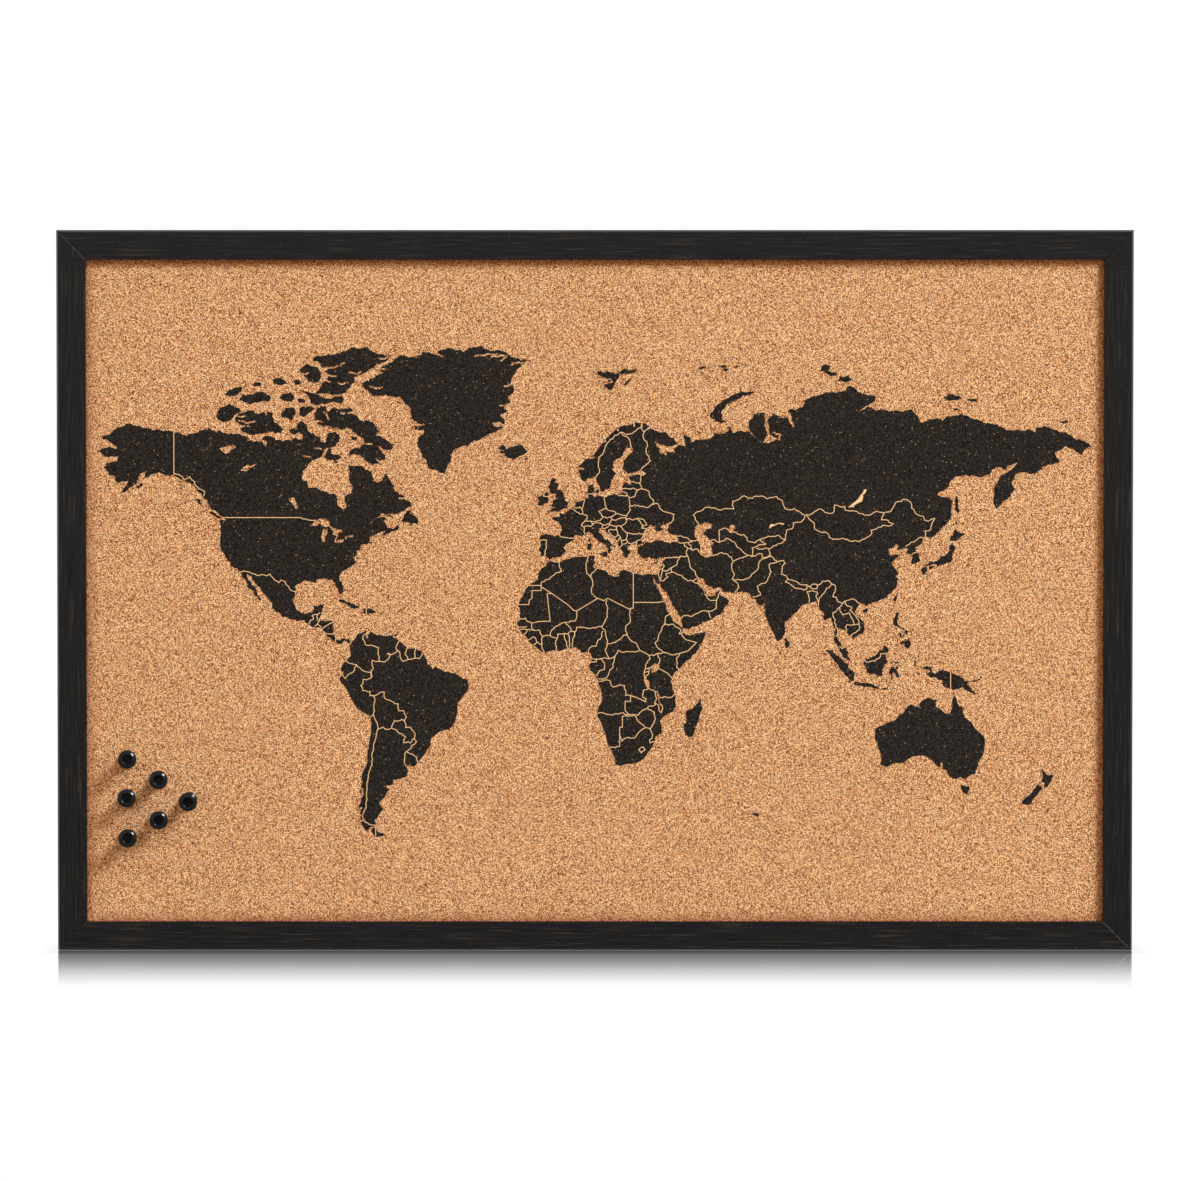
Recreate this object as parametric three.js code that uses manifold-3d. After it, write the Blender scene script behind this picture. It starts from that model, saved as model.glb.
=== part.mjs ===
// Framed cork bulletin board, 600 x 402 mm, with six push pins and two rear D-ring hangers.
// Units are millimetres. X points right and Z up, and the cork faces -Y.
// The origin is the centre of the board on the plane of the wall that it hangs on, y = 0.

import * as THREE from 'three';
import { mergeVertices } from 'three/addons/utils/BufferGeometryUtils.js';
import Module from 'manifold-3d';

const wasm = await Module();
wasm.setup();

// Outline and depth
const BOARD_WIDTH = 600;
const BOARD_HEIGHT = 402;
const WALL_GAP = 4; // from the wall to the back of the frame
const FRAME_DEPTH = 16;
const FRAME_BACK = -WALL_GAP;
const FRAME_FRONT = FRAME_BACK - FRAME_DEPTH;

// Frame rails: an L-shaped section, mitred at the corners
const FACE_WIDTH = 16.5;
const LIP_THICKNESS = 3;
const RABBET_WALL = 11.5; // rail width behind the lip
const EDGE_RADIUS = 1.7;
const INNER_EASE = 0.4;
const MITRE_GAP = 0.1;
const FIT_GAP = 0.3; // around a piece let into its neighbour

// Sheets held in the rabbet, from the lip to the back
const SHEET_EDGE_GAP = 0.5;
const SHEET_GAP = 0.1;
const CORK_FRONT = FRAME_FRONT + LIP_THICKNESS + 0.2;
const CORK_THICKNESS = 3;
const CORE_FRONT = CORK_FRONT + CORK_THICKNESS + SHEET_GAP;
const CORE_THICKNESS = 5;
const PANEL_FRONT = CORE_FRONT + CORE_THICKNESS + SHEET_GAP;
const PANEL_THICKNESS = 2.5;
const PANEL_BACK = PANEL_FRONT + PANEL_THICKNESS;

// Retaining points, which keep the sheets in the frame
const POINT_WIDTH = 8;
const POINT_THICKNESS = 0.5;
const POINT_INSIDE = 8; // length over the panel
const POINT_IN_WOOD = 5;
const POINTS_PER_RAIL = 4;
const POINTS_PER_STILE = 2;

// V-shaped nails across the back of each mitre
const V_NAIL_LEG = 6;
const V_NAIL_THICKNESS = 0.6;
const V_NAIL_DEPTH = 7;
const V_NAIL_BACK = FRAME_BACK - 0.3; // driven just below the surface
const V_NAIL_INSETS = { outer: 3.2, inner: 7.6 }; // from the outer edges of the corner

// D-ring hangers on the back of the stiles
const HANGER_Z = 105; // height of the ring's bar over the board's centre
const HANGER_X = (BOARD_WIDTH - RABBET_WALL) / 2;
const STRAP_WIDTH = 7;
const STRAP_THICKNESS = 0.8;
const STRAP_FRONT = FRAME_BACK + 0.1;
const STRAP_BACK = STRAP_FRONT + STRAP_THICKNESS;
const STRAP_LENGTH = 19; // below the bar
const RING_WIRE = 1.6;
const RING_INNER_WIDTH = 7.8;
const RING_LEG = 5;
const EYE_CLEARANCE = 0.2;
const EYE_INNER = RING_WIRE / 2 + EYE_CLEARANCE;
const EYE_OUTER = EYE_INNER + STRAP_THICKNESS;
const EYE_SWEEP = (300 * Math.PI) / 180;
const BAR_Y = STRAP_FRONT + EYE_OUTER;
const SCREW_DROP = 14.5; // screw axis below the bar
const SCREW_RADIUS = 1.5;
const SCREW_LENGTH = 11;
const SCREW_HEAD_RADIUS = 2.8;
const SCREW_HEAD_HEIGHT = 1.6;
const SCREW_HEAD_SEAT = STRAP_BACK + 0.1;
const SLOT_LENGTH = 3.4;
const SLOT_WIDTH = 0.8;
const SLOT_DEPTH = 0.9;

// Bumper pads at the bottom corners, which rest on the wall
const PAD_RADIUS = 5;
const PAD_EASE = 0.5;
const PAD_FRONT = FRAME_BACK + 0.1;
const PAD_X = HANGER_X;
const PAD_Z = -BOARD_HEIGHT / 2 + 22;

// Push pins in a triangle of three, two and one at the lower left
const PIN_COLUMN_PITCH = 17.3;
const PIN_ROW_PITCH = 22;
const PIN_FIRST_X = -261;
const PIN_CENTRE_Z = -116.2;
const PIN_COLUMNS = [3, 2, 1];
const PIN_FLANGE_GAP = 2; // from the cork to the head
const PIN_HEAD_LENGTH = 11.5;
const PIN_RADIUS = 4.6;
const PIN_WAIST = 2.7;
const PIN_FLANGE = 1.5;
const PIN_CAP = 2.6;
const PIN_DISH_RADIUS = 3.3;
const PIN_DISH_DEPTH = 0.5;
const NEEDLE_RADIUS = 0.55;
const NEEDLE_REACH = 9.5; // out of the head
const NEEDLE_IN_HEAD = 6;
const NEEDLE_TAPER = 3;
const NEEDLE_CLEARANCE = 0.05; // between the needle and the head it is moulded in
const HOLE_RADIUS = NEEDLE_RADIUS + FIT_GAP;

const paint = (color, roughness, metalness = 0) =>
  new THREE.MeshStandardMaterial({ color, roughness, metalness });

const BLACK_FOIL = () => paint(0x242322, 0.55);
const CORK = () => paint(0xcd996e, 0.9);
const FIBREBOARD = () => paint(0xb59c78, 0.95);
const HARDBOARD = () => paint(0x6f4c33, 0.75);
const ZINC = () => paint(0xb8babd, 0.35, 1);
const STEEL = () => paint(0x8c8e90, 0.4, 1);
const NICKEL_PLATE = () => paint(0xc9ccd0, 0.3, 1);
const RUBBER = () => paint(0x303030, 0.9);
const BLACK_PLASTIC = () => paint(0x1b1c20, 0.22);

// ---- Solids ----

// A closed manifold from a geometry, with only its positions kept and shared corners merged.
function solid(geometry) {
  const bare = geometry.clone();
  bare.deleteAttribute('normal');
  bare.deleteAttribute('uv');
  const merged = mergeVertices(bare, 1e-4);
  return new wasm.Manifold(
    new wasm.Mesh({
      numProp: 3,
      vertProperties: new Float32Array(merged.attributes.position.array),
      triVerts: new Uint32Array(merged.index.array),
    }),
  );
}

function surface(manifold) {
  const mesh = manifold.getMesh();
  const geometry = new THREE.BufferGeometry();
  geometry.setAttribute('position', new THREE.BufferAttribute(mesh.vertProperties, 3));
  geometry.setIndex(new THREE.BufferAttribute(mesh.triVerts, 1));
  geometry.computeVertexNormals();
  return geometry;
}

function cut(geometry, tools) {
  return surface(tools.reduce((body, tool) => body.subtract(solid(tool)), solid(geometry)));
}

function join(geometry, others) {
  return surface(others.reduce((body, other) => body.add(solid(other)), solid(geometry)));
}

// A block between two x, two y and two z values.
function block(x, y, z) {
  const geometry = new THREE.BoxGeometry(x[1] - x[0], y[1] - y[0], z[1] - z[0]);
  return geometry.translate((x[0] + x[1]) / 2, (y[0] + y[1]) / 2, (z[0] + z[1]) / 2);
}

// A round bar along Y at (x, z).
function barAlongY(radius, front, back, x, z, sides = 16) {
  const geometry = new THREE.CylinderGeometry(radius, radius, back - front, sides);
  return geometry.translate(x, (front + back) / 2, z);
}

// A flat outline in X and Z, given as a shape's x and y, with its back face at y = back.
function plate(outline, thickness, back) {
  const geometry = new THREE.ExtrudeGeometry(outline, { depth: thickness, bevelEnabled: false });
  return geometry.rotateX(Math.PI / 2).translate(0, back, 0);
}

function polygon(points) {
  return new THREE.Shape(points.map(([x, y]) => new THREE.Vector2(x, y)));
}

const board = new THREE.Group();

function add(name, geometry, material, x = 0, y = 0, z = 0, parent = board) {
  const mesh = new THREE.Mesh(geometry, material);
  mesh.name = name;
  mesh.position.set(x, y, z);
  parent.add(mesh);
  return mesh;
}

// Quarter turns about Y that carry +Z to each side of the board, and a corner's +X +Z legs to each corner.
const SIDE_TURN = { top: 0, right: 1, bottom: 2, left: 3 };
const CORNER_TURN = {
  bottom_left: { turn: 0, x: -1, z: -1 },
  top_left: { turn: 1, x: -1, z: 1 },
  top_right: { turn: 2, x: 1, z: 1 },
  bottom_right: { turn: 3, x: 1, z: -1 },
};

const quarterTurns = (geometry, turns) => geometry.clone().rotateY((turns * Math.PI) / 2);

// ---- V-nails ----

// An L in plan, with its apex at the origin and legs along +X and +Z.
function vNail(grow = 0) {
  const start = -V_NAIL_THICKNESS / 2 - grow;
  const side = V_NAIL_THICKNESS / 2 + grow;
  const end = V_NAIL_LEG + grow;
  const outline = polygon([
    [start, start],
    [end, start],
    [end, side],
    [side, side],
    [side, end],
    [start, end],
  ]);
  return plate(outline, V_NAIL_DEPTH + 2 * grow, V_NAIL_BACK + grow);
}

const vNails = [];
for (const [corner, { turn, x, z }] of Object.entries(CORNER_TURN)) {
  for (const [place, inset] of Object.entries(V_NAIL_INSETS)) {
    const at = [x * (BOARD_WIDTH / 2 - inset), 0, z * (BOARD_HEIGHT / 2 - inset)];
    vNails.push({
      name: `v_nail_${corner}_${place}`,
      body: quarterTurns(vNail(), turn),
      pocket: quarterTurns(vNail(FIT_GAP), turn).translate(...at),
      at,
    });
  }
}

// ---- Retaining points ----

// A tab with a pointed tip, lying over the panel and driven into a rail on its +Z side.
function retainingPoint() {
  const half = POINT_WIDTH / 2;
  const tip = POINT_IN_WOOD;
  const shoulder = POINT_IN_WOOD / 2;
  const outline = polygon([
    [-half, -POINT_INSIDE],
    [half, -POINT_INSIDE],
    [half, shoulder],
    [0, tip],
    [-half, shoulder],
  ]);
  return plate(outline, POINT_THICKNESS, PANEL_BACK + FIT_GAP + POINT_THICKNESS);
}

function retainingPocket() {
  const half = POINT_WIDTH / 2 + FIT_GAP;
  const front = PANEL_BACK;
  return block([-half, half], [front, front + POINT_THICKNESS + 2 * FIT_GAP], [-1, POINT_IN_WOOD + FIT_GAP]);
}

const retainers = [];
for (const [side, turns] of Object.entries(SIDE_TURN)) {
  const alongX = side === 'top' || side === 'bottom';
  const count = alongX ? POINTS_PER_RAIL : POINTS_PER_STILE;
  const span = alongX ? BOARD_WIDTH : BOARD_HEIGHT;
  const reach = (alongX ? BOARD_HEIGHT : BOARD_WIDTH) / 2 - RABBET_WALL;
  for (let i = 0; i < count; i += 1) {
    const along = ((i + 0.5) / count - 0.5) * span;
    const at = new THREE.Vector3(along, 0, reach).applyAxisAngle(
      new THREE.Vector3(0, 1, 0),
      (turns * Math.PI) / 2,
    );
    retainers.push({
      name: `retaining_point_${side}_${i + 1}`,
      side,
      body: quarterTurns(retainingPoint(), turns),
      pocket: quarterTurns(retainingPocket(), turns).translate(at.x, at.y, at.z),
      at: at.toArray(),
    });
  }
}

// ---- Frame ----

// The rail's section: x is the distance from the outer edge and y the depth.
function railSection() {
  const section = new THREE.Shape();
  section.moveTo(0, FRAME_BACK);
  section.lineTo(0, FRAME_FRONT + EDGE_RADIUS);
  section.absarc(EDGE_RADIUS, FRAME_FRONT + EDGE_RADIUS, EDGE_RADIUS, Math.PI, 1.5 * Math.PI, false);
  section.lineTo(FACE_WIDTH - INNER_EASE, FRAME_FRONT);
  section.lineTo(FACE_WIDTH, FRAME_FRONT + INNER_EASE);
  section.lineTo(FACE_WIDTH, FRAME_FRONT + LIP_THICKNESS);
  section.lineTo(RABBET_WALL, FRAME_FRONT + LIP_THICKNESS);
  section.lineTo(RABBET_WALL, FRAME_BACK);
  return section;
}

// A rail along X whose outer edge is on its +Z side, mitred at 45 degrees.
function rail(length, outerEdge) {
  const geometry = new THREE.ExtrudeGeometry(railSection(), {
    depth: 1,
    bevelEnabled: false,
    curveSegments: 4,
  });
  const position = geometry.attributes.position;
  for (let i = 0; i < position.count; i += 1) {
    const inward = position.getX(i);
    const depth = position.getY(i);
    const end = position.getZ(i) > 0.5 ? 1 : -1;
    position.setXYZ(i, end * (length / 2 - inward - MITRE_GAP / 2), depth, outerEdge - inward);
  }
  return geometry;
}

const screwX = { left: -HANGER_X, right: HANGER_X };
const screwZ = HANGER_Z - SCREW_DROP;

for (const [side, turns] of Object.entries(SIDE_TURN)) {
  const alongX = side === 'top' || side === 'bottom';
  const length = alongX ? BOARD_WIDTH : BOARD_HEIGHT;
  const outerEdge = (alongX ? BOARD_HEIGHT : BOARD_WIDTH) / 2;
  const pockets = vNails.filter((nail) => nail.name.includes(side)).map((nail) => nail.pocket);
  pockets.push(...retainers.filter((point) => point.side === side).map((point) => point.pocket));
  if (!alongX) {
    const bottom = SCREW_HEAD_SEAT - SCREW_LENGTH - FIT_GAP;
    pockets.push(barAlongY(SCREW_RADIUS + FIT_GAP, bottom, 0, screwX[side], screwZ));
  }
  const body = quarterTurns(rail(length, outerEdge), turns);
  add(`frame_${alongX ? 'rail' : 'stile'}_${side}`, cut(body, pockets), BLACK_FOIL());
}

for (const nail of vNails) {
  add(nail.name, nail.body, STEEL(), ...nail.at);
}

for (const point of retainers) {
  add(point.name, point.body, ZINC(), ...point.at);
}

// ---- Cork, core and back panel ----

const sheetX = BOARD_WIDTH / 2 - RABBET_WALL - SHEET_EDGE_GAP;
const sheetZ = BOARD_HEIGHT / 2 - RABBET_WALL - SHEET_EDGE_GAP;
const sheet = (front, thickness) =>
  block([-sheetX, sheetX], [front, front + thickness], [-sheetZ, sheetZ]);

const pinPlaces = [];
PIN_COLUMNS.forEach((count, column) => {
  for (let row = 0; row < count; row += 1) {
    pinPlaces.push([
      PIN_FIRST_X + column * PIN_COLUMN_PITCH,
      PIN_CENTRE_Z + ((count - 1) / 2 - row) * PIN_ROW_PITCH,
    ]);
  }
});

const flangeFace = CORK_FRONT - PIN_FLANGE_GAP;
const needleTip = flangeFace + NEEDLE_REACH;
const pinHoles = pinPlaces.map(([x, z]) =>
  barAlongY(HOLE_RADIUS, CORK_FRONT - 1, needleTip + FIT_GAP, x, z, 10),
);

add('cork_sheet', cut(sheet(CORK_FRONT, CORK_THICKNESS), pinHoles), CORK());
add('core_board', cut(sheet(CORE_FRONT, CORE_THICKNESS), pinHoles), FIBREBOARD());
add('back_panel', sheet(PANEL_FRONT, PANEL_THICKNESS), HARDBOARD());

// ---- Hangers ----

// The strap's section in Y and Z: a flat tail that rolls over the ring's bar, which is at the origin.
function strapSection() {
  const section = new THREE.Shape();
  section.moveTo(-EYE_OUTER, -STRAP_LENGTH);
  section.lineTo(-EYE_OUTER, 0);
  section.absarc(0, 0, EYE_OUTER, Math.PI, Math.PI - EYE_SWEEP, true);
  section.absarc(0, 0, EYE_INNER, Math.PI - EYE_SWEEP, Math.PI, false);
  section.lineTo(-EYE_INNER, -STRAP_LENGTH);
  return section;
}

function strap() {
  const geometry = new THREE.ExtrudeGeometry(strapSection(), {
    depth: STRAP_WIDTH,
    bevelEnabled: false,
    curveSegments: 14,
  });
  // The section's x becomes y, its y becomes z, and the extrusion runs along x.
  const turn = new THREE.Matrix4().makeBasis(
    new THREE.Vector3(0, 1, 0),
    new THREE.Vector3(0, 0, 1),
    new THREE.Vector3(1, 0, 0),
  );
  geometry.applyMatrix4(turn).translate(-STRAP_WIDTH / 2, 0, 0);
  const hole = barAlongY(SCREW_RADIUS + FIT_GAP, -WALL_GAP, WALL_GAP, 0, -SCREW_DROP);
  return cut(geometry, [hole]);
}

// The ring: a U of wire closed by the straight bar on which it turns.
function ring() {
  const half = (RING_INNER_WIDTH + RING_WIRE) / 2;
  const section = new THREE.Shape();
  section.absarc(0, 0, RING_WIRE / 2, 0, 2 * Math.PI, false);
  class Bow extends THREE.Curve {
    getPoint(t, target = new THREE.Vector3()) {
      const total = 2 * RING_LEG + Math.PI * half;
      const s = t * total;
      if (s < RING_LEG) return target.set(-half, 0, -s);
      if (s > total - RING_LEG) return target.set(half, 0, -(total - s));
      const angle = (s - RING_LEG) / half;
      return target.set(-half * Math.cos(angle), 0, -RING_LEG - half * Math.sin(angle));
    }
  }
  const bow = new THREE.ExtrudeGeometry(section, {
    extrudePath: new Bow(),
    steps: 24,
    curveSegments: 4,
    bevelEnabled: false,
  });
  const wireRadius = RING_WIRE / 2;
  const bar = new THREE.CylinderGeometry(wireRadius, wireRadius, 2 * half + RING_WIRE, 16);
  return join(bow, [bar.rotateZ(Math.PI / 2)]);
}

// A pan-head screw with its axis on Y, the head's seat at y = 0 and the shank towards -Y.
function screw() {
  const points = [
    [0, -SCREW_LENGTH],
    [SCREW_RADIUS, -SCREW_LENGTH + 2.5],
    [SCREW_RADIUS, 0],
    [SCREW_HEAD_RADIUS, 0],
    [SCREW_HEAD_RADIUS, SCREW_HEAD_HEIGHT * 0.45],
    [SCREW_HEAD_RADIUS * 0.75, SCREW_HEAD_HEIGHT * 0.9],
    [0, SCREW_HEAD_HEIGHT],
  ];
  const body = new THREE.LatheGeometry(points.map(([r, y]) => new THREE.Vector2(r, y)), 16);
  const long = SLOT_LENGTH / 2;
  const wide = SLOT_WIDTH / 2;
  const depth = [SCREW_HEAD_HEIGHT - SLOT_DEPTH, SCREW_HEAD_HEIGHT + 1];
  return cut(body, [block([-long, long], depth, [-wide, wide]), block([-wide, wide], depth, [-long, long])]);
}

for (const [side, x] of Object.entries(screwX)) {
  add(`hanger_strap_${side}`, strap(), ZINC(), x, BAR_Y, HANGER_Z);
  add(`hanger_ring_${side}`, ring(), NICKEL_PLATE(), x, BAR_Y, HANGER_Z);
  add(`hanger_screw_${side}`, screw(), ZINC(), x, SCREW_HEAD_SEAT, screwZ);
}

// ---- Bumper pads ----

function bumperPad() {
  const height = -PAD_FRONT;
  const outline = new THREE.Shape();
  outline.absarc(0, 0, PAD_RADIUS - PAD_EASE, 0, 2 * Math.PI, false);
  const geometry = new THREE.ExtrudeGeometry(outline, {
    depth: height - 2 * PAD_EASE,
    curveSegments: 12,
    bevelEnabled: true,
    bevelSize: PAD_EASE,
    bevelThickness: PAD_EASE,
    bevelSegments: 1,
  });
  return geometry.rotateX(Math.PI / 2).translate(0, -PAD_EASE, 0);
}

add('bumper_pad_left', bumperPad(), RUBBER(), -PAD_X, 0, PAD_Z);
add('bumper_pad_right', bumperPad(), RUBBER(), PAD_X, 0, PAD_Z);

// ---- Push pins ----

// The head turned about Y, with its flange at y = 0 and its dished cap towards -Y.
function pinHead() {
  const top = PIN_HEAD_LENGTH;
  const neck = PIN_FLANGE + 1;
  const shoulder = top - PIN_CAP;
  const profile = [
    [0, 0],
    [PIN_RADIUS - 0.4, 0],
    [PIN_RADIUS, 0.5],
    [PIN_RADIUS, PIN_FLANGE - 0.4],
    [PIN_WAIST + 0.5, neck],
    [PIN_WAIST, (neck + shoulder) / 2],
    [PIN_WAIST + 0.6, shoulder - 1],
    [PIN_RADIUS - 0.5, shoulder],
    [PIN_RADIUS, shoulder + 0.6],
    [PIN_RADIUS, top - 0.9],
    [PIN_RADIUS - 0.4, top - 0.2],
    [PIN_DISH_RADIUS + 0.5, top],
    [PIN_DISH_RADIUS, top - 0.1],
    [PIN_DISH_RADIUS - 0.6, top - PIN_DISH_DEPTH],
    [0, top - PIN_DISH_DEPTH],
  ];
  const head = new THREE.LatheGeometry(profile.map(([r, y]) => new THREE.Vector2(r, y)), 20);
  const socketRadius = NEEDLE_RADIUS + NEEDLE_CLEARANCE;
  const socket = barAlongY(socketRadius, -1, NEEDLE_IN_HEAD + NEEDLE_CLEARANCE, 0, 0, 10);
  return cut(head, [socket]).rotateX(Math.PI);
}

// The needle, with its point towards +Y.
function pinNeedle() {
  const profile = [
    [0, -NEEDLE_IN_HEAD],
    [NEEDLE_RADIUS, -NEEDLE_IN_HEAD],
    [NEEDLE_RADIUS, NEEDLE_REACH - NEEDLE_TAPER],
    [0, NEEDLE_REACH],
  ];
  return new THREE.LatheGeometry(profile.map(([r, y]) => new THREE.Vector2(r, y)), 10);
}

pinPlaces.forEach(([x, z], i) => {
  const pin = new THREE.Group();
  pin.position.set(x, flangeFace, z);
  board.add(pin);
  add(`push_pin_head_${i + 1}`, pinHead(), BLACK_PLASTIC(), 0, 0, 0, pin);
  add(`push_pin_needle_${i + 1}`, pinNeedle(), STEEL(), 0, 0, 0, pin);
});

export default board;
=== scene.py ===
"""Cork bulletin board with a printed world map, a black frame and six push pins."""

import math
import random

import bmesh
import bpy
from mathutils import Matrix, Vector
from mathutils.geometry import delaunay_2d_cdt, intersect_line_line_2d


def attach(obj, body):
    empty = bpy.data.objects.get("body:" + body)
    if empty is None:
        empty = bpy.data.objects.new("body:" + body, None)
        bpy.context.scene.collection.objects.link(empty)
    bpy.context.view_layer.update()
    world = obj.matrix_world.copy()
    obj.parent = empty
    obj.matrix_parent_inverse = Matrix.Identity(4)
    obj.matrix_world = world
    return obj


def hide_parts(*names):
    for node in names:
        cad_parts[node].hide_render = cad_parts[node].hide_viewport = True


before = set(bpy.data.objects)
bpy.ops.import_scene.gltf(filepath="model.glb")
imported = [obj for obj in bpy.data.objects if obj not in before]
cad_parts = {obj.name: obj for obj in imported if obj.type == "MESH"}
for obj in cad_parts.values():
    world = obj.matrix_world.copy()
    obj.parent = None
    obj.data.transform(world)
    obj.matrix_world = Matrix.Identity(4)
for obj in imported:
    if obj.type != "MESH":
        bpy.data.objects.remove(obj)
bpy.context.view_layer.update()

MM = 0.001

# ---- Board, in millimetres, as in the CAD: the wall is at y = 0 and the front at -y ----
HALF_WIDTH = 300.0
HALF_HEIGHT = 201.0
FRAME_FRONT = -20.0
FRAME_BACK = -4.0
FACE_WIDTH = 16.5
INNER_EASE = 0.5  # the radius of the face's inner edge
BACK_EASE = 0.5  # the radius of the back's outer edge
LIP_BACK = -17.0  # the back of the lip over the cork's edge
RABBET_WALL = 11.5  # from the outer side in to the rabbet that holds the sheets
MITRE_GAP = 0.1  # between two rails
CORK_FACE = -16.8

# ---- The world's outlines, as (longitude, latitude) in degrees east and north ----
# Longitudes run from 168 W to 190 E, so that the eastern tip of Asia stays whole.

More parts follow.
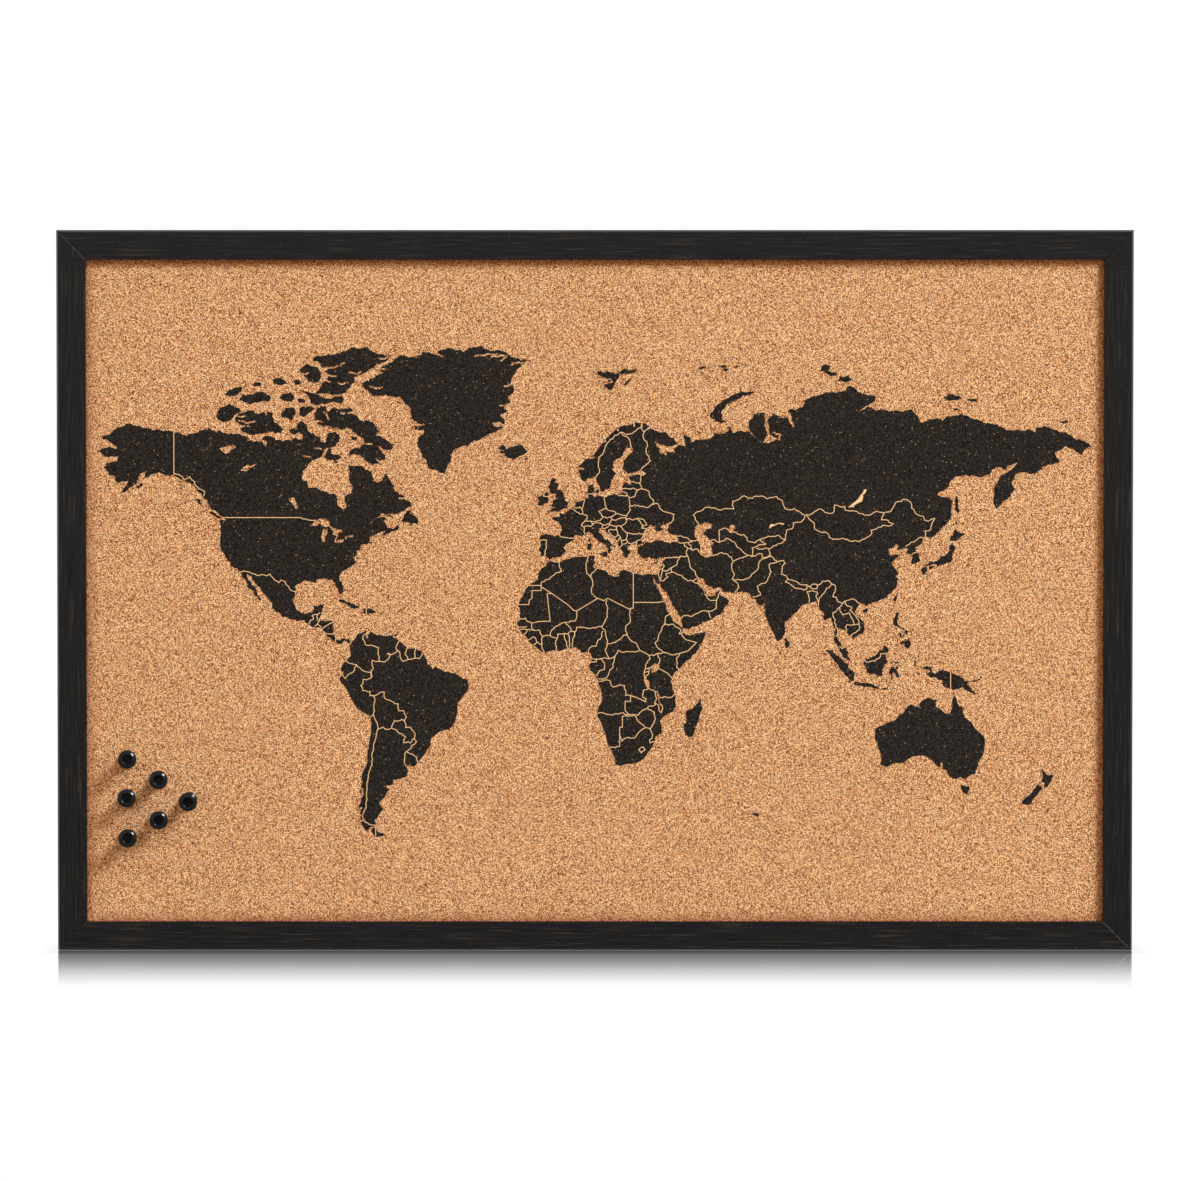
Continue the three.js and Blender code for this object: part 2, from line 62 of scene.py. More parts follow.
LAND = {
    "north_america": [
        (-168, 65.6), (-166.3, 66.3), (-163.8, 66.6), (-161.8, 66.1), (-161.2, 66.5), (-162.8, 67.1),
        (-164.2, 67.8), (-166.6, 68.3), (-166.2, 68.9), (-163.3, 69.4), (-161.9, 70.3), (-159.5, 70.8),
        (-156.6, 71.35), (-154.4, 70.9), (-151.8, 70.5), (-147.5, 70.2), (-144, 70), (-141, 69.65),
        (-138.5, 69.2), (-136.4, 68.9), (-135.3, 69.4), (-133, 69.5), (-130.5, 70.1), (-128, 70.5),
        (-127.4, 70), (-125.4, 69.6), (-124.6, 70.1), (-123, 69.5), (-119.5, 69.3), (-116.5, 68.9),
        (-114.2, 68.3), (-114.8, 67.8), (-111, 67.8), (-108.7, 67.5), (-107.6, 66.5), (-107.4, 67.7),
        (-109, 68.1), (-108.8, 68.6), (-106, 68.8), (-104, 68), (-101.5, 67.7), (-98.5, 67.8),
        (-97.6, 68.5), (-95.8, 68.1), (-94.4, 68.3), (-94.5, 69.2), (-96.4, 70), (-96.4, 71.1),
        (-95, 71.9), (-93, 71.2), (-92.4, 69.9), (-90.6, 69.4), (-89.6, 68.9), (-88, 68.6),
        (-87.9, 67.6), (-86.3, 67.4), (-85.6, 68.7), (-85.2, 69.6), (-82.6, 69.7), (-81.3, 69.1),
        (-81.4, 67.8), (-83, 66.5), (-86.2, 66.4), (-86.8, 65.5), (-88, 64.4), (-90.3, 63.8),
        (-92.6, 62.6), (-94.1, 61.3), (-94.7, 60), (-94.4, 58.8), (-92.9, 58.5), (-92.5, 57.1),
        (-90, 57.1), (-87.5, 56.1), (-85, 55.3), (-82.4, 55.1), (-82.1, 53.3), (-80.5, 51.3),
        (-79.1, 51.5), (-78.8, 52.8), (-79.4, 54.5), (-77, 55.7), (-76.6, 57), (-77.7, 58.4),
        (-78, 59.7), (-77.6, 61), (-78, 62.4), (-75.5, 62.3), (-73.6, 62.4), (-71.5, 61.3),
        (-69.8, 61), (-69.6, 59.8), (-69.4, 58.8), (-67.8, 58.3), (-66.4, 58.8), (-65.4, 59.8),
        (-64.5, 60.4), (-63.6, 59.2), (-62, 57.7), (-61.5, 56.2), (-60, 55.2), (-57.8, 54.8),
        (-58.2, 54.1), (-57, 53.7), (-55.8, 53.2), (-55.8, 52.1), (-57.5, 51.4), (-60, 50.3),
        (-63.5, 50.2), (-66.4, 50.2), (-67.2, 49.4), (-69, 48.6), (-70.6, 47.2), (-71.3, 46.8),
        (-69.8, 47.6), (-68, 48.8), (-66, 49.2), (-64.3, 48.8), (-65.6, 48), (-64.9, 47.2),
        (-64.4, 46.2), (-62, 45.8), (-61, 46.6), (-60.4, 47), (-59.9, 46), (-61.2, 45.2),
        (-63.6, 44.6), (-65.6, 43.5), (-66.1, 44.3), (-64.6, 45.3), (-66.2, 45.1), (-67.2, 44.7),
        (-69, 44.1), (-70.4, 43.5), (-70.8, 42.6), (-70.5, 41.8), (-70, 42), (-70, 41.6),
        (-71.3, 41.5), (-73.6, 41), (-74, 40.4), (-74.3, 39.4), (-75.3, 39.3), (-75.1, 38.4),
        (-76, 37.2), (-76.4, 38.9), (-76.5, 37.2), (-75.6, 35.3), (-76.8, 34.6), (-78, 33.9),
        (-79.2, 33.2), (-80.9, 32.1), (-81.4, 31), (-81.3, 29.8), (-80.5, 28.3), (-80, 26.8),
        (-80.4, 25.2), (-81.2, 25.2), (-81.9, 26.4), (-82.7, 27.8), (-82.8, 29.1), (-84, 30.1),
        (-85.3, 29.7), (-86.5, 30.4), (-88.1, 30.3), (-89.5, 30.2), (-89.3, 29.1), (-90.7, 29.1),
        (-91.9, 29.6), (-93.8, 29.7), (-95, 29.1), (-96.6, 28.3), (-97.4, 27.2), (-97.2, 25.9),
        (-97.8, 23.8), (-97.8, 22), (-97.1, 20.5), (-96.1, 19.2), (-94.8, 18.5), (-93, 18.4),
        (-91.2, 18.6), (-90.6, 19.7), (-90.3, 21.1), (-88, 21.6), (-86.9, 21.4), (-87.5, 19.9),
        (-87.9, 18.2), (-88.3, 17), (-88.8, 15.9), (-87.4, 15.8), (-85.5, 15.9), (-83.3, 15.1),
        (-83.6, 13.3), (-83.7, 11.2), (-82.8, 9.7), (-81.3, 8.8), (-79.8, 9.6), (-78.2, 9.4),
        (-77.1, 8.3), (-77.9, 7.3), (-78.5, 8.6), (-79.7, 8.9), (-80.3, 8.1), (-80.3, 7.4),
        (-81.4, 7.7), (-82.9, 8.2), (-83.8, 8.8), (-84.8, 9.9), (-85.8, 10), (-85.8, 11.1),
        (-87, 12.4), (-87.7, 13.2), (-89.5, 13.4), (-91.5, 14), (-92.6, 14.8), (-94, 16.1),
        (-95.2, 16.2), (-96.7, 15.7), (-98.6, 16.4), (-101, 17.3), (-102.4, 18), (-104.2, 19),
        (-105.5, 20.1), (-105.4, 21.6), (-106.6, 23.3), (-108.2, 25.1), (-109.3, 26.1), (-109.8, 26.9),
        (-111, 28), (-112.3, 29.4), (-113.1, 31.1), (-114.7, 31.8), (-114.6, 30.7), (-113.2, 29),
        (-112.3, 27.6), (-111.2, 26), (-110.5, 24.4), (-109.5, 23.2), (-110.1, 23), (-112.1, 24.8),
        (-112.3, 26.2), (-114.3, 27.1), (-114.9, 27.8), (-114.1, 28.2), (-115.8, 30.3), (-117.1, 32.5),
        (-118.4, 33.8), (-120.6, 34.5), (-121.9, 36.5), (-122.6, 37.9), (-123.8, 39.3), (-124.4, 40.4),
        (-124.2, 42), (-124.4, 43), (-124, 44.8), (-124, 46.3), (-124.7, 48.3), (-122.6, 48),
        (-122.9, 49.1), (-125, 50.3), (-127.6, 51.2), (-128.3, 52.6), (-130.3, 54.3), (-131, 55.4),
        (-132.7, 56.2), (-133.8, 57.6), (-135.4, 58.3), (-137.6, 58.9), (-139.7, 59.6), (-143.5, 60),
        (-146.2, 60.8), (-148.3, 60.3), (-149.8, 59.8), (-151.7, 59.3), (-151.4, 60.6), (-150, 61.2),
        (-151.9, 60.8), (-153.8, 59.4), (-154.2, 58.3), (-156.3, 57.1), (-158, 56.3), (-159.6, 55.7),
        (-159.4, 56.4), (-158, 57.5), (-157.3, 58.7), (-159, 58.5),
        (-162, 58.7), (-162, 59.9), (-164.3, 60), (-165.2, 61.3), (-166, 61.8), (-164.9, 62.9),
        (-161.3, 63.5), (-160.9, 64.6), (-163, 64.5), (-166, 64.5),
    ],
    "vancouver_island": [
        (-128.3, 50.7), (-126.6, 50.5), (-124.9, 49.5), (-123.5, 48.5), (-125.2, 48.8), (-126.8, 49.7),
    ],
    "haida_gwaii": [(-133.1, 54.1), (-131.7, 54), (-131.1, 52.2), (-132.4, 53)],
    "kodiak": [(-154.6, 57.3), (-152.6, 58.3), (-152.2, 57.4), (-154, 56.8)],
    "banks": [
        (-125.7, 72.2), (-124.6, 73.7), (-121.4, 74.5), (-117.6, 73.8), (-116.6, 73.2), (-119.2, 72.4),
        (-120.4, 71.5), (-123, 71.1), (-125.3, 71.7),
    ],
    "victoria": [
        (-118.9, 71.6), (-117.8, 72.7), (-114.3, 73.3), (-111, 72.7), (-107.5, 73.3), (-105.2, 72.9),
        (-104.6, 71), (-102.8, 70.4), (-101.3, 69.6), (-102.6, 68.9), (-106, 69.2), (-109, 68.7),
        (-113, 68.5), (-115.8, 69), (-116.9, 69.9), (-113, 70.2), (-117.3, 70.7),
    ],
    "prince_of_wales": [
        (-102.6, 72.7), (-100.3, 73.8), (-97.3, 73.8), (-96.8, 72.7), (-98.3, 71.4), (-101.8, 72),
    ],
    "somerset": [(-95.6, 73.8), (-92, 74.1), (-90.2, 73.8), (-92, 72.9), (-93.6, 72.1), (-95.6, 72.4)],
    "king_william": [(-98.9, 69.7), (-96.8, 69.7), (-95.6, 69.1), (-96.8, 68.6), (-99, 69)],
    "melville": [
        (-117.4, 75.3), (-116.4, 76.3), (-112.6, 76.1), (-109.3, 76.7), (-105.8, 75.7), (-106.5, 75),
        (-110, 74.8), (-113.7, 74.5), (-116, 75),
    ],
    "prince_patrick": [(-122.6, 76.1), (-119.8, 77.1), (-116.2, 77.4), (-116.8, 76.6), (-120, 75.9)],
    "bathurst": [
        (-102.8, 75.7), (-101.6, 76.4), (-98.6, 76.6), (-97.6, 75.8), (-98.2, 75), (-101.4, 75.1),
    ],
    "cornwallis": [(-96.4, 75.4), (-93.8, 75.3), (-93.6, 74.7), (-95.6, 74.7)],
    "ellef_ringnes": [(-105.4, 78.6), (-102, 78.9), (-99.8, 78), (-102.5, 77.8), (-104.8, 78)],
    "amund_ringnes": [(-97.8, 78.6), (-95.2, 78.5), (-95.4, 77.8), (-97.2, 77.9)],
    "mackenzie_king": [(-112.6, 77.9), (-110.2, 78.3), (-109.4, 77.8), (-111.4, 77.5)],
    "axel_heiberg": [
        (-95.6, 80.2), (-93, 81.2), (-89, 80.6), (-87.6, 79.6), (-88.6, 78.3), (-92.5, 78.4),
        (-94, 79.2),
    ],
    "ellesmere": [
        (-91, 81.7), (-86, 82.4), (-79, 83), (-70, 83.1), (-62, 82.5), (-65, 81.4),
        (-69.5, 80.5), (-73, 79.6), (-76.2, 79), (-75.8, 78.2), (-78.5, 77), (-80.8, 76.2),
        (-86, 76.4), (-89.6, 76.5), (-87.8, 77.6), (-86.8, 78.3), (-85.3, 79.2), (-86.6, 80),
        (-84.2, 80.6), (-87.8, 80.7),
    ],
    "devon": [
        (-95.8, 76.8), (-92.6, 76.6), (-89.3, 76.2), (-86.2, 75.5), (-80.2, 75.8), (-79.6, 75.2),
        (-80.8, 74.6), (-86, 74.5), (-91.6, 74.7), (-92.2, 75.8),
    ],
    "baffin": [
        (-89.6, 73.3), (-88.6, 73.8), (-85.6, 73.8), (-85.4, 72.9), (-84.2, 73.7), (-81.2, 73.6),
        (-80.9, 72.6), (-78.4, 72.8), (-75, 72.2), (-71.6, 71.4), (-68.2, 70.2), (-66.8, 69.2),
        (-68.4, 68.4), (-66, 67.9), (-63.8, 67.2), (-61.5, 66.6), (-62.6, 65.4), (-64.8, 65.4),
        (-67.6, 66.5), (-66.8, 65.4), (-64.8, 64.2), (-65.2, 63), (-68.6, 63.6), (-66.2, 62),
        (-69, 62.2), (-71.6, 62.9), (-73.8, 64), (-75.6, 64.4), (-78.2, 64.4), (-77.4, 65.3),
        (-74, 65.5), (-73.4, 66.4), (-72.4, 67.4), (-73.4, 68.2), (-76, 69), (-77.4, 69.8),
        (-80, 69.7), (-82.4, 70), (-86.6, 70.2), (-88.6, 70.6), (-89.6, 71.3), (-90, 72.2),
    ],
    "bylot": [(-80.8, 73.7), (-77.6, 73.8), (-76.2, 73.1), (-78.6, 72.9), (-80.9, 73.2)],
    "prince_charles": [(-77.2, 68.2), (-75.2, 68.2), (-75.2, 67.3), (-77, 67.4)],
    "southampton": [
        (-87, 63.7), (-86, 64.9), (-85.2, 65.9), (-84, 65.4), (-84.4, 64.5), (-81.4, 64.1),
        (-80.2, 63.8), (-83.2, 62.9), (-85.4, 63.2),
    ],
    "coats": [(-84, 62.6), (-82, 62.9), (-82.4, 62.3)],
    "newfoundland": [
        (-59.3, 47.7), (-58.6, 48.9), (-57.2, 50.6), (-55.6, 51.6), (-56.2, 50.2), (-54.2, 49.4),
        (-52.9, 48), (-53.4, 46.7), (-54.2, 47.5), (-55.8, 46.9), (-56.4, 47.6),
    ],
    "anticosti": [(-64.4, 49.8), (-62.4, 49.4), (-61.8, 49.1), (-63.8, 49.4)],
    "greenland": [
        (-33, 83.6), (-25, 83.2), (-20.5, 82.6), (-12.6, 81.6), (-16.5, 80.6), (-17.8, 79.8),
        (-19.4, 78.6), (-18.4, 76.9), (-20.8, 75.9), (-19.4, 74.9), (-22.2, 73.9), (-20.8, 73.2),
        (-23.6, 72.6), (-21.8, 71.6), (-22, 70.6), (-26.6, 71), (-25.4, 70.2), (-22.2, 70.1),
        (-25.2, 69), (-29.4, 68.2), (-32.8, 67.4), (-35, 66.2), (-38.4, 65.8), (-40.6, 64.8),
        (-41.4, 63), (-42.6, 61.6), (-43.6, 59.9), (-46, 60.6), (-48.6, 61.1), (-50, 62.4),
        (-51.6, 63.7), (-52.4, 65.3), (-53.6, 66.8), (-53.2, 68.1), (-51, 68.8), (-51, 69.6),
        (-54.4, 69.5), (-54.6, 70.4), (-51.6, 70.6), (-55.2, 71.6), (-55.6, 73), (-57.4, 74.4),
        (-59.6, 75.8), (-64.8, 76.2), (-69.4, 75.9), (-71.2, 77), (-73.2, 78.2), (-69, 79),
        (-65.6, 79.9), (-68, 80.2), (-64.2, 81), (-61.2, 82), (-55, 82.2), (-47, 82.6), (-40, 83.2),
    ],
    "iceland": [
        (-24.4, 65.6), (-22.4, 66.4), (-21.4, 65.5), (-18.6, 66.1), (-16.1, 66.5), (-14.7, 65.7),
        (-13.6, 65), (-15.2, 64.2), (-18.6, 63.4), (-20.4, 63.6), (-22.6, 63.9), (-21.8, 64.5),
        (-23.9, 64.8), (-22.2, 65.2),
    ],
    "cuba": [
        (-81.6, 22.8), (-80.4, 23.1), (-77.4, 21.8), (-75.6, 21), (-74.2, 20.2), (-77.6, 19.9),
        (-77.3, 20.7), (-78.6, 21.4), (-81.4, 22.2),
    ],
    "hispaniola": [
        (-74.4, 18.5), (-72.5, 18.6), (-73.2, 19.8), (-71.6, 19.9), (-69.8, 19.6), (-68.4, 18.6),
        (-70.4, 18.3), (-71.5, 17.8), (-72.6, 18.2),
    ],
    "puerto_rico": [(-67.2, 18.5), (-65.7, 18.3), (-66.6, 17.9)],
    "trinidad": [(-61.8, 10.7), (-60.9, 10.8), (-61.1, 10.1), (-61.9, 10.1)],
    "south_america": [
        (-77.1, 8.3), (-76.4, 8.9), (-75.5, 9.9), (-75.2, 10.8), (-73.8, 11.3), (-72, 12.2),
        (-71.5, 11.6), (-71.9, 10.8), (-71.1, 10.8), (-70.2, 11.9), (-69.6, 11.4), (-68.2, 10.6),
        (-66, 10.5), (-64.6, 10.2), (-62.2, 10.7), (-62.4, 10), (-60.8, 9.2), (-59.8, 8.3),
        (-58.4, 7.2), (-57.2, 6), (-54.4, 5.9), (-52.4, 5), (-51.2, 4.1), (-49.9, 1.8),
        (-50, 0.6), (-48.4, -0.6), (-48, -1.4), (-47, -0.6), (-44.6, -1.8), (-43.6, -2.6),
        (-41.4, -2.9), (-39.4, -3.2), (-37.4, -4.8), (-35.3, -5.2), (-34.8, -7.2), (-35.3, -9.3),
        (-37, -11), (-38.4, -12.9), (-39, -14.6), (-39.1, -17.4), (-39.8, -19.7), (-41, -21.9),
        (-42, -22.9), (-44.5, -23.1), (-46.4, -24.1), (-48.5, -25.6), (-48.6, -27.6), (-49.8, -29.4),
        (-51.6, -31.8), (-53.4, -33.7), (-54.8, -34.9), (-57, -34.6), (-58.4, -34), (-57.3, -35.4),
        (-56.8, -36.6), (-57.7, -38.1), (-59.6, -38.8), (-62.1, -39), (-62.3, -40.6), (-64.8, -40.8),
        (-65.1, -41.2), (-63.7, -42.2), (-64.5, -42.9), (-65.4, -44.4), (-67.4, -46), (-66.4, -47.1),
        (-65.8, -47.9), (-67.6, -49.6), (-69, -50.8), (-68.5, -52.3), (-70.6, -52.8), (-71.6, -53.7),
        (-72.8, -53), (-73.6, -51.8), (-74.2, -50), (-74, -48), (-74.8, -46.8), (-74, -46.2),
        (-73.8, -44.6), (-72.8, -43.6), (-72.8, -42), (-73.8, -41.2), (-73.3, -39.4), (-73.5, -37.2),
        (-72.6, -35.6), (-71.6, -33.4), (-71.6, -30.4), (-70.9, -27.4), (-70.5, -25.2), (-70.2, -22),
        (-70.2, -19.8), (-70.4, -18.3), (-72.4, -17.1), (-75.1, -15.5), (-76.3, -13.8), (-77.2, -12),
        (-78.6, -9.3), (-79.8, -7.2), (-81.1, -6), (-81.3, -4.6), (-80.3, -3.4), (-79.9, -2.4),
        (-80.9, -2.2), (-80.5, -0.4), (-79.8, 0.8), (-78.8, 1.6), (-77.3, 3.6), (-77.5, 5.6),
        (-77.9, 7.3),
    ],
    "tierra_del_fuego": [
        (-69.6, -52.8), (-68.4, -53), (-67.6, -54), (-65.2, -54.7), (-67.4, -55.1), (-69.4, -55),
        (-70, -54), (-70, -53.2),
    ],
    "chiloe": [(-74.1, -42), (-73.5, -42), (-73.6, -43.2), (-74.2, -43.2)],
    "falklands": [(-60, -51.5), (-59, -51.6), (-59.6, -52)],
    "africa": [
        (-5.9, 35.8), (-5.2, 35.4), (-3.8, 35.2), (-2.1, 35.1), (-0.2, 35.9), (3, 36.8),
        (6, 36.9), (8.6, 36.9), (9.9, 37.3), (11, 37), (10.5, 35.9), (11, 34.9),
        (10.1, 34), (11.1, 33.2), (13.2, 32.9), (15.2, 32.3), (16, 31.2), (18.6, 30.4),
        (20, 30.9), (20, 32.2), (21.7, 32.9), (23.1, 32.3), (25, 31.6), (28.6, 31),
        (30.6, 31.5), (32.3, 31.2), (34.2, 31.3), (34.9, 29.5), (34.3, 27.9), (33.2, 28.6),
        (32.5, 29.9), (33.4, 28), (34.2, 26.4), (35.6, 24.2), (35.7, 22.8), (37.2, 21),
        (37.2, 19.4), (38.4, 18.1), (39.7, 15.5), (41.2, 14.6), (43.1, 12.7), (43.2, 11.5),
        (44.5, 10.5), (46.6, 10.8), (49, 11.3), (51.2, 11.9), (50.8, 9.6), (49.2, 6.8),
        (47.9, 4.4), (46, 2.4), (43.6, 0.6), (41.6, -1.7), (40.2, -2.7), (39.2, -4.6),
        (38.8, -6.2), (39.5, -7.2), (39.4, -9), (40.4, -10.5), (40.7, -14.6), (39.8, -16.4),
        (37, -17.8), (34.8, -19.8), (35.5, -22), (35.5, -24), (33, -25.4), (32.8, -27),
        (31.6, -29.2), (29.4, -31.8), (27.4, -33.3), (25.7, -34), (22.6, -34.1), (20, -34.8),
        (18.4, -34.2), (18.2, -32.4), (17.2, -29.8), (15.5, -27.4), (14.5, -23.6), (13.4, -20.8),
        (11.8, -18), (12.2, -15.2), (13.6, -12.4), (13.3, -9.4), (12.3, -6.1), (11.1, -3.9),
        (9.6, -2.3), (8.8, -0.8), (9.5, 1), (9.8, 3), (9.4, 4), (8.5, 4.7),
        (6.2, 4.3), (5.3, 5.4), (4.3, 6.3), (1.2, 6.1), (-1.6, 5), (-2.8, 5),
        (-4.4, 5.2), (-7.5, 4.4), (-9.4, 5.4), (-11.4, 6.9), (-13.2, 8.6), (-13.8, 9.8),
        (-15, 10.9), (-16.7, 12.4), (-16.8, 13.6), (-17.4, 14.7), (-16.5, 16), (-16.2, 18.6),
        (-16.5, 19.6), (-17, 21), (-16.2, 23), (-15, 24.9), (-14.4, 26.3), (-12.9, 27.9),
        (-11.3, 28.7), (-9.8, 29.8), (-9.7, 31.5), (-8.4, 33.3), (-6.8, 34.1),
    ],
    "madagascar": [
        (49.3, -12), (50.4, -15.4), (49.5, -17.2), (48.4, -20.6), (47.1, -24.8), (45.2, -25.5),
        (43.7, -23.5), (43.4, -21.8), (44.4, -20), (44, -17.5), (44.6, -16.2), (46.4, -15.7),
        (48, -14),
    ],
    "eurasia": [
        (34.2, 31.3), (34.9, 32.8), (35.6, 34), (35.8, 35.6), (36.1, 36.8), (34.6, 36.7),
        (33.6, 36.1), (32, 36.4), (30.6, 36.8), (29.4, 36.3), (28, 36.8), (27.2, 37.6),
        (26.5, 38.4), (26.8, 39.2), (26.3, 40.1), (28, 40.4), (29.2, 40.8), (29.2, 41.2),
        (31.4, 41.3), (33.3, 42), (35.1, 42), (36.6, 41.3), (38.6, 41), (41.5, 41.5),
        (41.5, 42.5), (39.4, 43.8), (37.4, 45), (38, 46.4), (39.2, 47.2), (37.4, 46.9),
        (35.2, 46.2), (35, 45.6), (36.4, 45.2), (35, 44.9), (33.8, 44.4), (32.6, 45.4),
        (33.5, 46), (31.8, 46.4), (30.7, 46.2), (29.7, 45.2), (28.6, 43.9), (27.9, 42.8),
        (28.1, 41.8), (29, 41.2), (28, 40.9), (26.7, 40.4), (26, 40.8), (24.4, 40.9),
        (23.8, 40.2), (22.8, 40.5), (22.9, 39.2), (23.9, 38.2), (23.6, 37.9), (22.9, 37.3),
        (22.9, 36.6), (21.8, 36.9), (21.3, 37.8), (21.2, 38.5), (20.2, 39.5), (19.4, 40.5),
        (19.4, 41.9), (18.3, 42.6), (16.6, 43.4), (15.2, 44.3), (14.4, 45.2), (13.7, 44.9),
        (13.6, 45.7), (12.3, 45.3), (12.4, 44.3), (13.6, 43.5), (14.3, 42.4), (16.1, 41.8),
        (18.4, 40.2), (18.3, 39.9), (17, 40.5), (16.5, 39.7), (17.1, 39), (16.2, 37.9),
        (15.8, 38.3), (16, 39.2), (15, 40.2), (14, 41), (12.3, 41.7), (10.6, 42.8),
        (10.2, 44), (8.8, 44.4), (7.5, 43.8), (6.2, 43.1), (4, 43.5), (3.1, 42.8),
        (3.1, 41.8), (0.9, 41), (-0.4, 39.5), (0.1, 38.8), (-0.8, 37.7), (-2, 36.8),
        (-4.4, 36.7), (-5.6, 36), (-6.4, 36.9), (-7.4, 37.2), (-8.9, 37), (-8.8, 38.4),
        (-9.4, 38.8), (-8.8, 40.4), (-8.8, 42), (-9.2, 43), (-8, 43.7), (-4.6, 43.4),
        (-1.8, 43.4), (-1.2, 44.8), (-1.2, 46), (-2.4, 47.3), (-4.6, 48), (-4.6, 48.6),
        (-1.7, 48.7), (-1.8, 49.7), (0.2, 49.6), (1.6, 50.8), (3.4, 51.4), (4.6, 52.9),
        (7, 53.4), (8.7, 53.9), (8.2, 55.4), (8.3, 57), (10.5, 57.7), (10.2, 56.6),
        (10.8, 56.3), (9.8, 55.2), (10.8, 54), (12.5, 54.4), (14.3, 53.9), (16.6, 54.6),
        (18.4, 54.8), (19.4, 54.4), (20.4, 54.9), (21.1, 55.8), (21.1, 57.1), (21.8, 57.6),
        (22.8, 57.7), (23.4, 57.1), (24.3, 57.3), (24.4, 58.3), (23.5, 58.8), (23.7, 59.3),
        (25.6, 59.6), (28, 59.5), (29.9, 59.9), (28.6, 60.5), (26, 60.4), (23, 59.9),
        (21.3, 60.8), (21.4, 61.8), (21.2, 62.9), (22.8, 63.9), (25.2, 65), (24.6, 65.8),
        (22.2, 65.8), (21.4, 64.6), (18.8, 63.2), (17.5, 62), (17.2, 60.8), (18.9, 59.9),
        (17.6, 58.8), (16.7, 57.6), (16.3, 56.4), (14.6, 56), (14.2, 55.4), (12.9, 55.5),
        (12.7, 56.4), (11.8, 57.6), (11.2, 59), (10.6, 59.3), (9.4, 58.8), (7.2, 58),
        (5.6, 58.8), (5.1, 60.2), (5, 61.8), (6.6, 62.8), (8.8, 63.6), (10.8, 64.6),
        (12.6, 66), (14.6, 67.4), (16.4, 68.4), (19.2, 69.8), (22, 70.4), (25.8, 71.1),
        (28.4, 71), (31, 70.3), (29.8, 69.8), (33, 69.4), (36.6, 69.1), (40.2, 67.8),
        (41.2, 66.7), (39.4, 66.1), (36.4, 66.3), (34.2, 66.7), (32.6, 67.1), (34.6, 65.7),
        (34.8, 64.5), (37.4, 63.9), (37, 65), (40.4, 64.6), (40, 65.6), (42.2, 66.4),
        (44, 66), (43.8, 67.2), (43.4, 68.6), (46, 68), (45.6, 66.9), (48, 67.6),
        (53.8, 68.2), (54.6, 68.9), (58, 68.8), (60.4, 69.8), (60.9, 68.9), (64.8, 69.2),
        (68.6, 68.3), (67, 69.6), (66.8, 71.2), (68.8, 72.6), (72.6, 72.8), (72.6, 71),
        (73.4, 69), (71.8, 67), (73.6, 66.8), (77.4, 67.6), (74.4, 68.6), (74.2, 70.4),
        (73.6, 71.6), (75.4, 72.8), (77.6, 72.2), (81, 72), (82.8, 70.4), (81, 73.4),
        (86.4, 73.9), (87, 75), (93, 76.1), (98.6, 76.4), (104.2, 77.7), (107, 76.6),
        (113.2, 76), (113.4, 75), (109.4, 74), (106.6, 73.1), (110.4, 74), (113.4, 73.4),
        (118.4, 73.1), (123, 73), (126.6, 73.5), (128, 72.4), (129.4, 71), (132.4, 71.6),
        (137.6, 71.4), (139.6, 72.3), (146, 72.4), (150, 71.6), (152.6, 70.9), (159.4, 69.9),
        (160.6, 69.5), (164, 69.6), (168, 69.7), (170.6, 69), (170.8, 70), (176, 69.8),
        (180, 69), (184.4, 67.6), (190.2, 66.1), (187.8, 65.4), (187, 64.4), (183, 65.6),
        (181, 66.2), (179.4, 65.2), (177.4, 64.7), (179.3, 62.7), (176.6, 62), (173.4, 61.6),
        (170.4, 60), (167, 60.2), (163.6, 59.8), (163, 58.6), (162, 57.8), (163.2, 56.2),
        (161.9, 55), (160, 53.2), (158.3, 52.2), (156.7, 51), (155.6, 53.6), (155.8, 56.4),
        (157, 57.8), (160, 60), (163.5, 61.8), (164.2, 62.5), (160.6, 61.8), (160.2, 60.8),
        (156.6, 61.5), (154.4, 59.8), (151.4, 59), (148.6, 59.5), (142.6, 59.3), (140, 57.7),
        (137.4, 55.6), (135.2, 54.7), (137.2, 54), (139.8, 54.1), (141.2, 53.1), (140.5, 50.8),
        (140.4, 48.4), (138.4, 46.4), (136, 44.5), (133.2, 42.8), (131.6, 43.1), (130.6, 42.3),
        (129.7, 41), (127.6, 39.8), (127.7, 39), (129, 37.5), (129.4, 35.5), (128, 34.8),
        (126.4, 34.5), (126.7, 36.5), (126.4, 37.6), (124.9, 38), (125.1, 39.4), (123.8, 39.8),
        (121.4, 38.9), (122, 40.4), (121, 40.8), (118.2, 39.1), (118.4, 38.1), (119.2, 37.3),
        (120.8, 37.8), (122.5, 37.3), (120.6, 36.2), (119.3, 35), (120.6, 33.4), (121.8, 31.8),
        (120.8, 30.5), (122, 29.8), (121.4, 28.2), (119.8, 26), (118.2, 24.5), (116.2, 23),
        (113.8, 22.2), (110.8, 21.5), (110.3, 20.5), (109.7, 21.6), (108.2, 21.6), (106.6, 20.2),
        (105.7, 18.9), (107, 17), (108.9, 15.2), (109.3, 12.8), (109, 11.4), (107, 10.4),
        (105, 8.7), (104.8, 10.2), (103.5, 10.7), (102.4, 12.2), (100.9, 12.7), (100.2, 13.4),
        (99.8, 11.8), (99.2, 10), (100.2, 8.4), (100.8, 7), (102.4, 6.1), (103.4, 4.6),
        (103.5, 2.7), (104.2, 1.4), (103, 1.9), (101.2, 3), (100.3, 5.6), (98.6, 7.9),
        (98.4, 10), (98.7, 12.4), (97.7, 15.2), (97.2, 16.8), (95.3, 15.8), (94.3, 16.2),
        (94.4, 18.5), (92.3, 20.8), (91.8, 22.4), (90, 21.9), (88.4, 21.7), (87, 21.4),
        (85, 19.6), (82.3, 16.8), (80.3, 15.7), (80.2, 13.3), (79.9, 11), (79.1, 9.7),
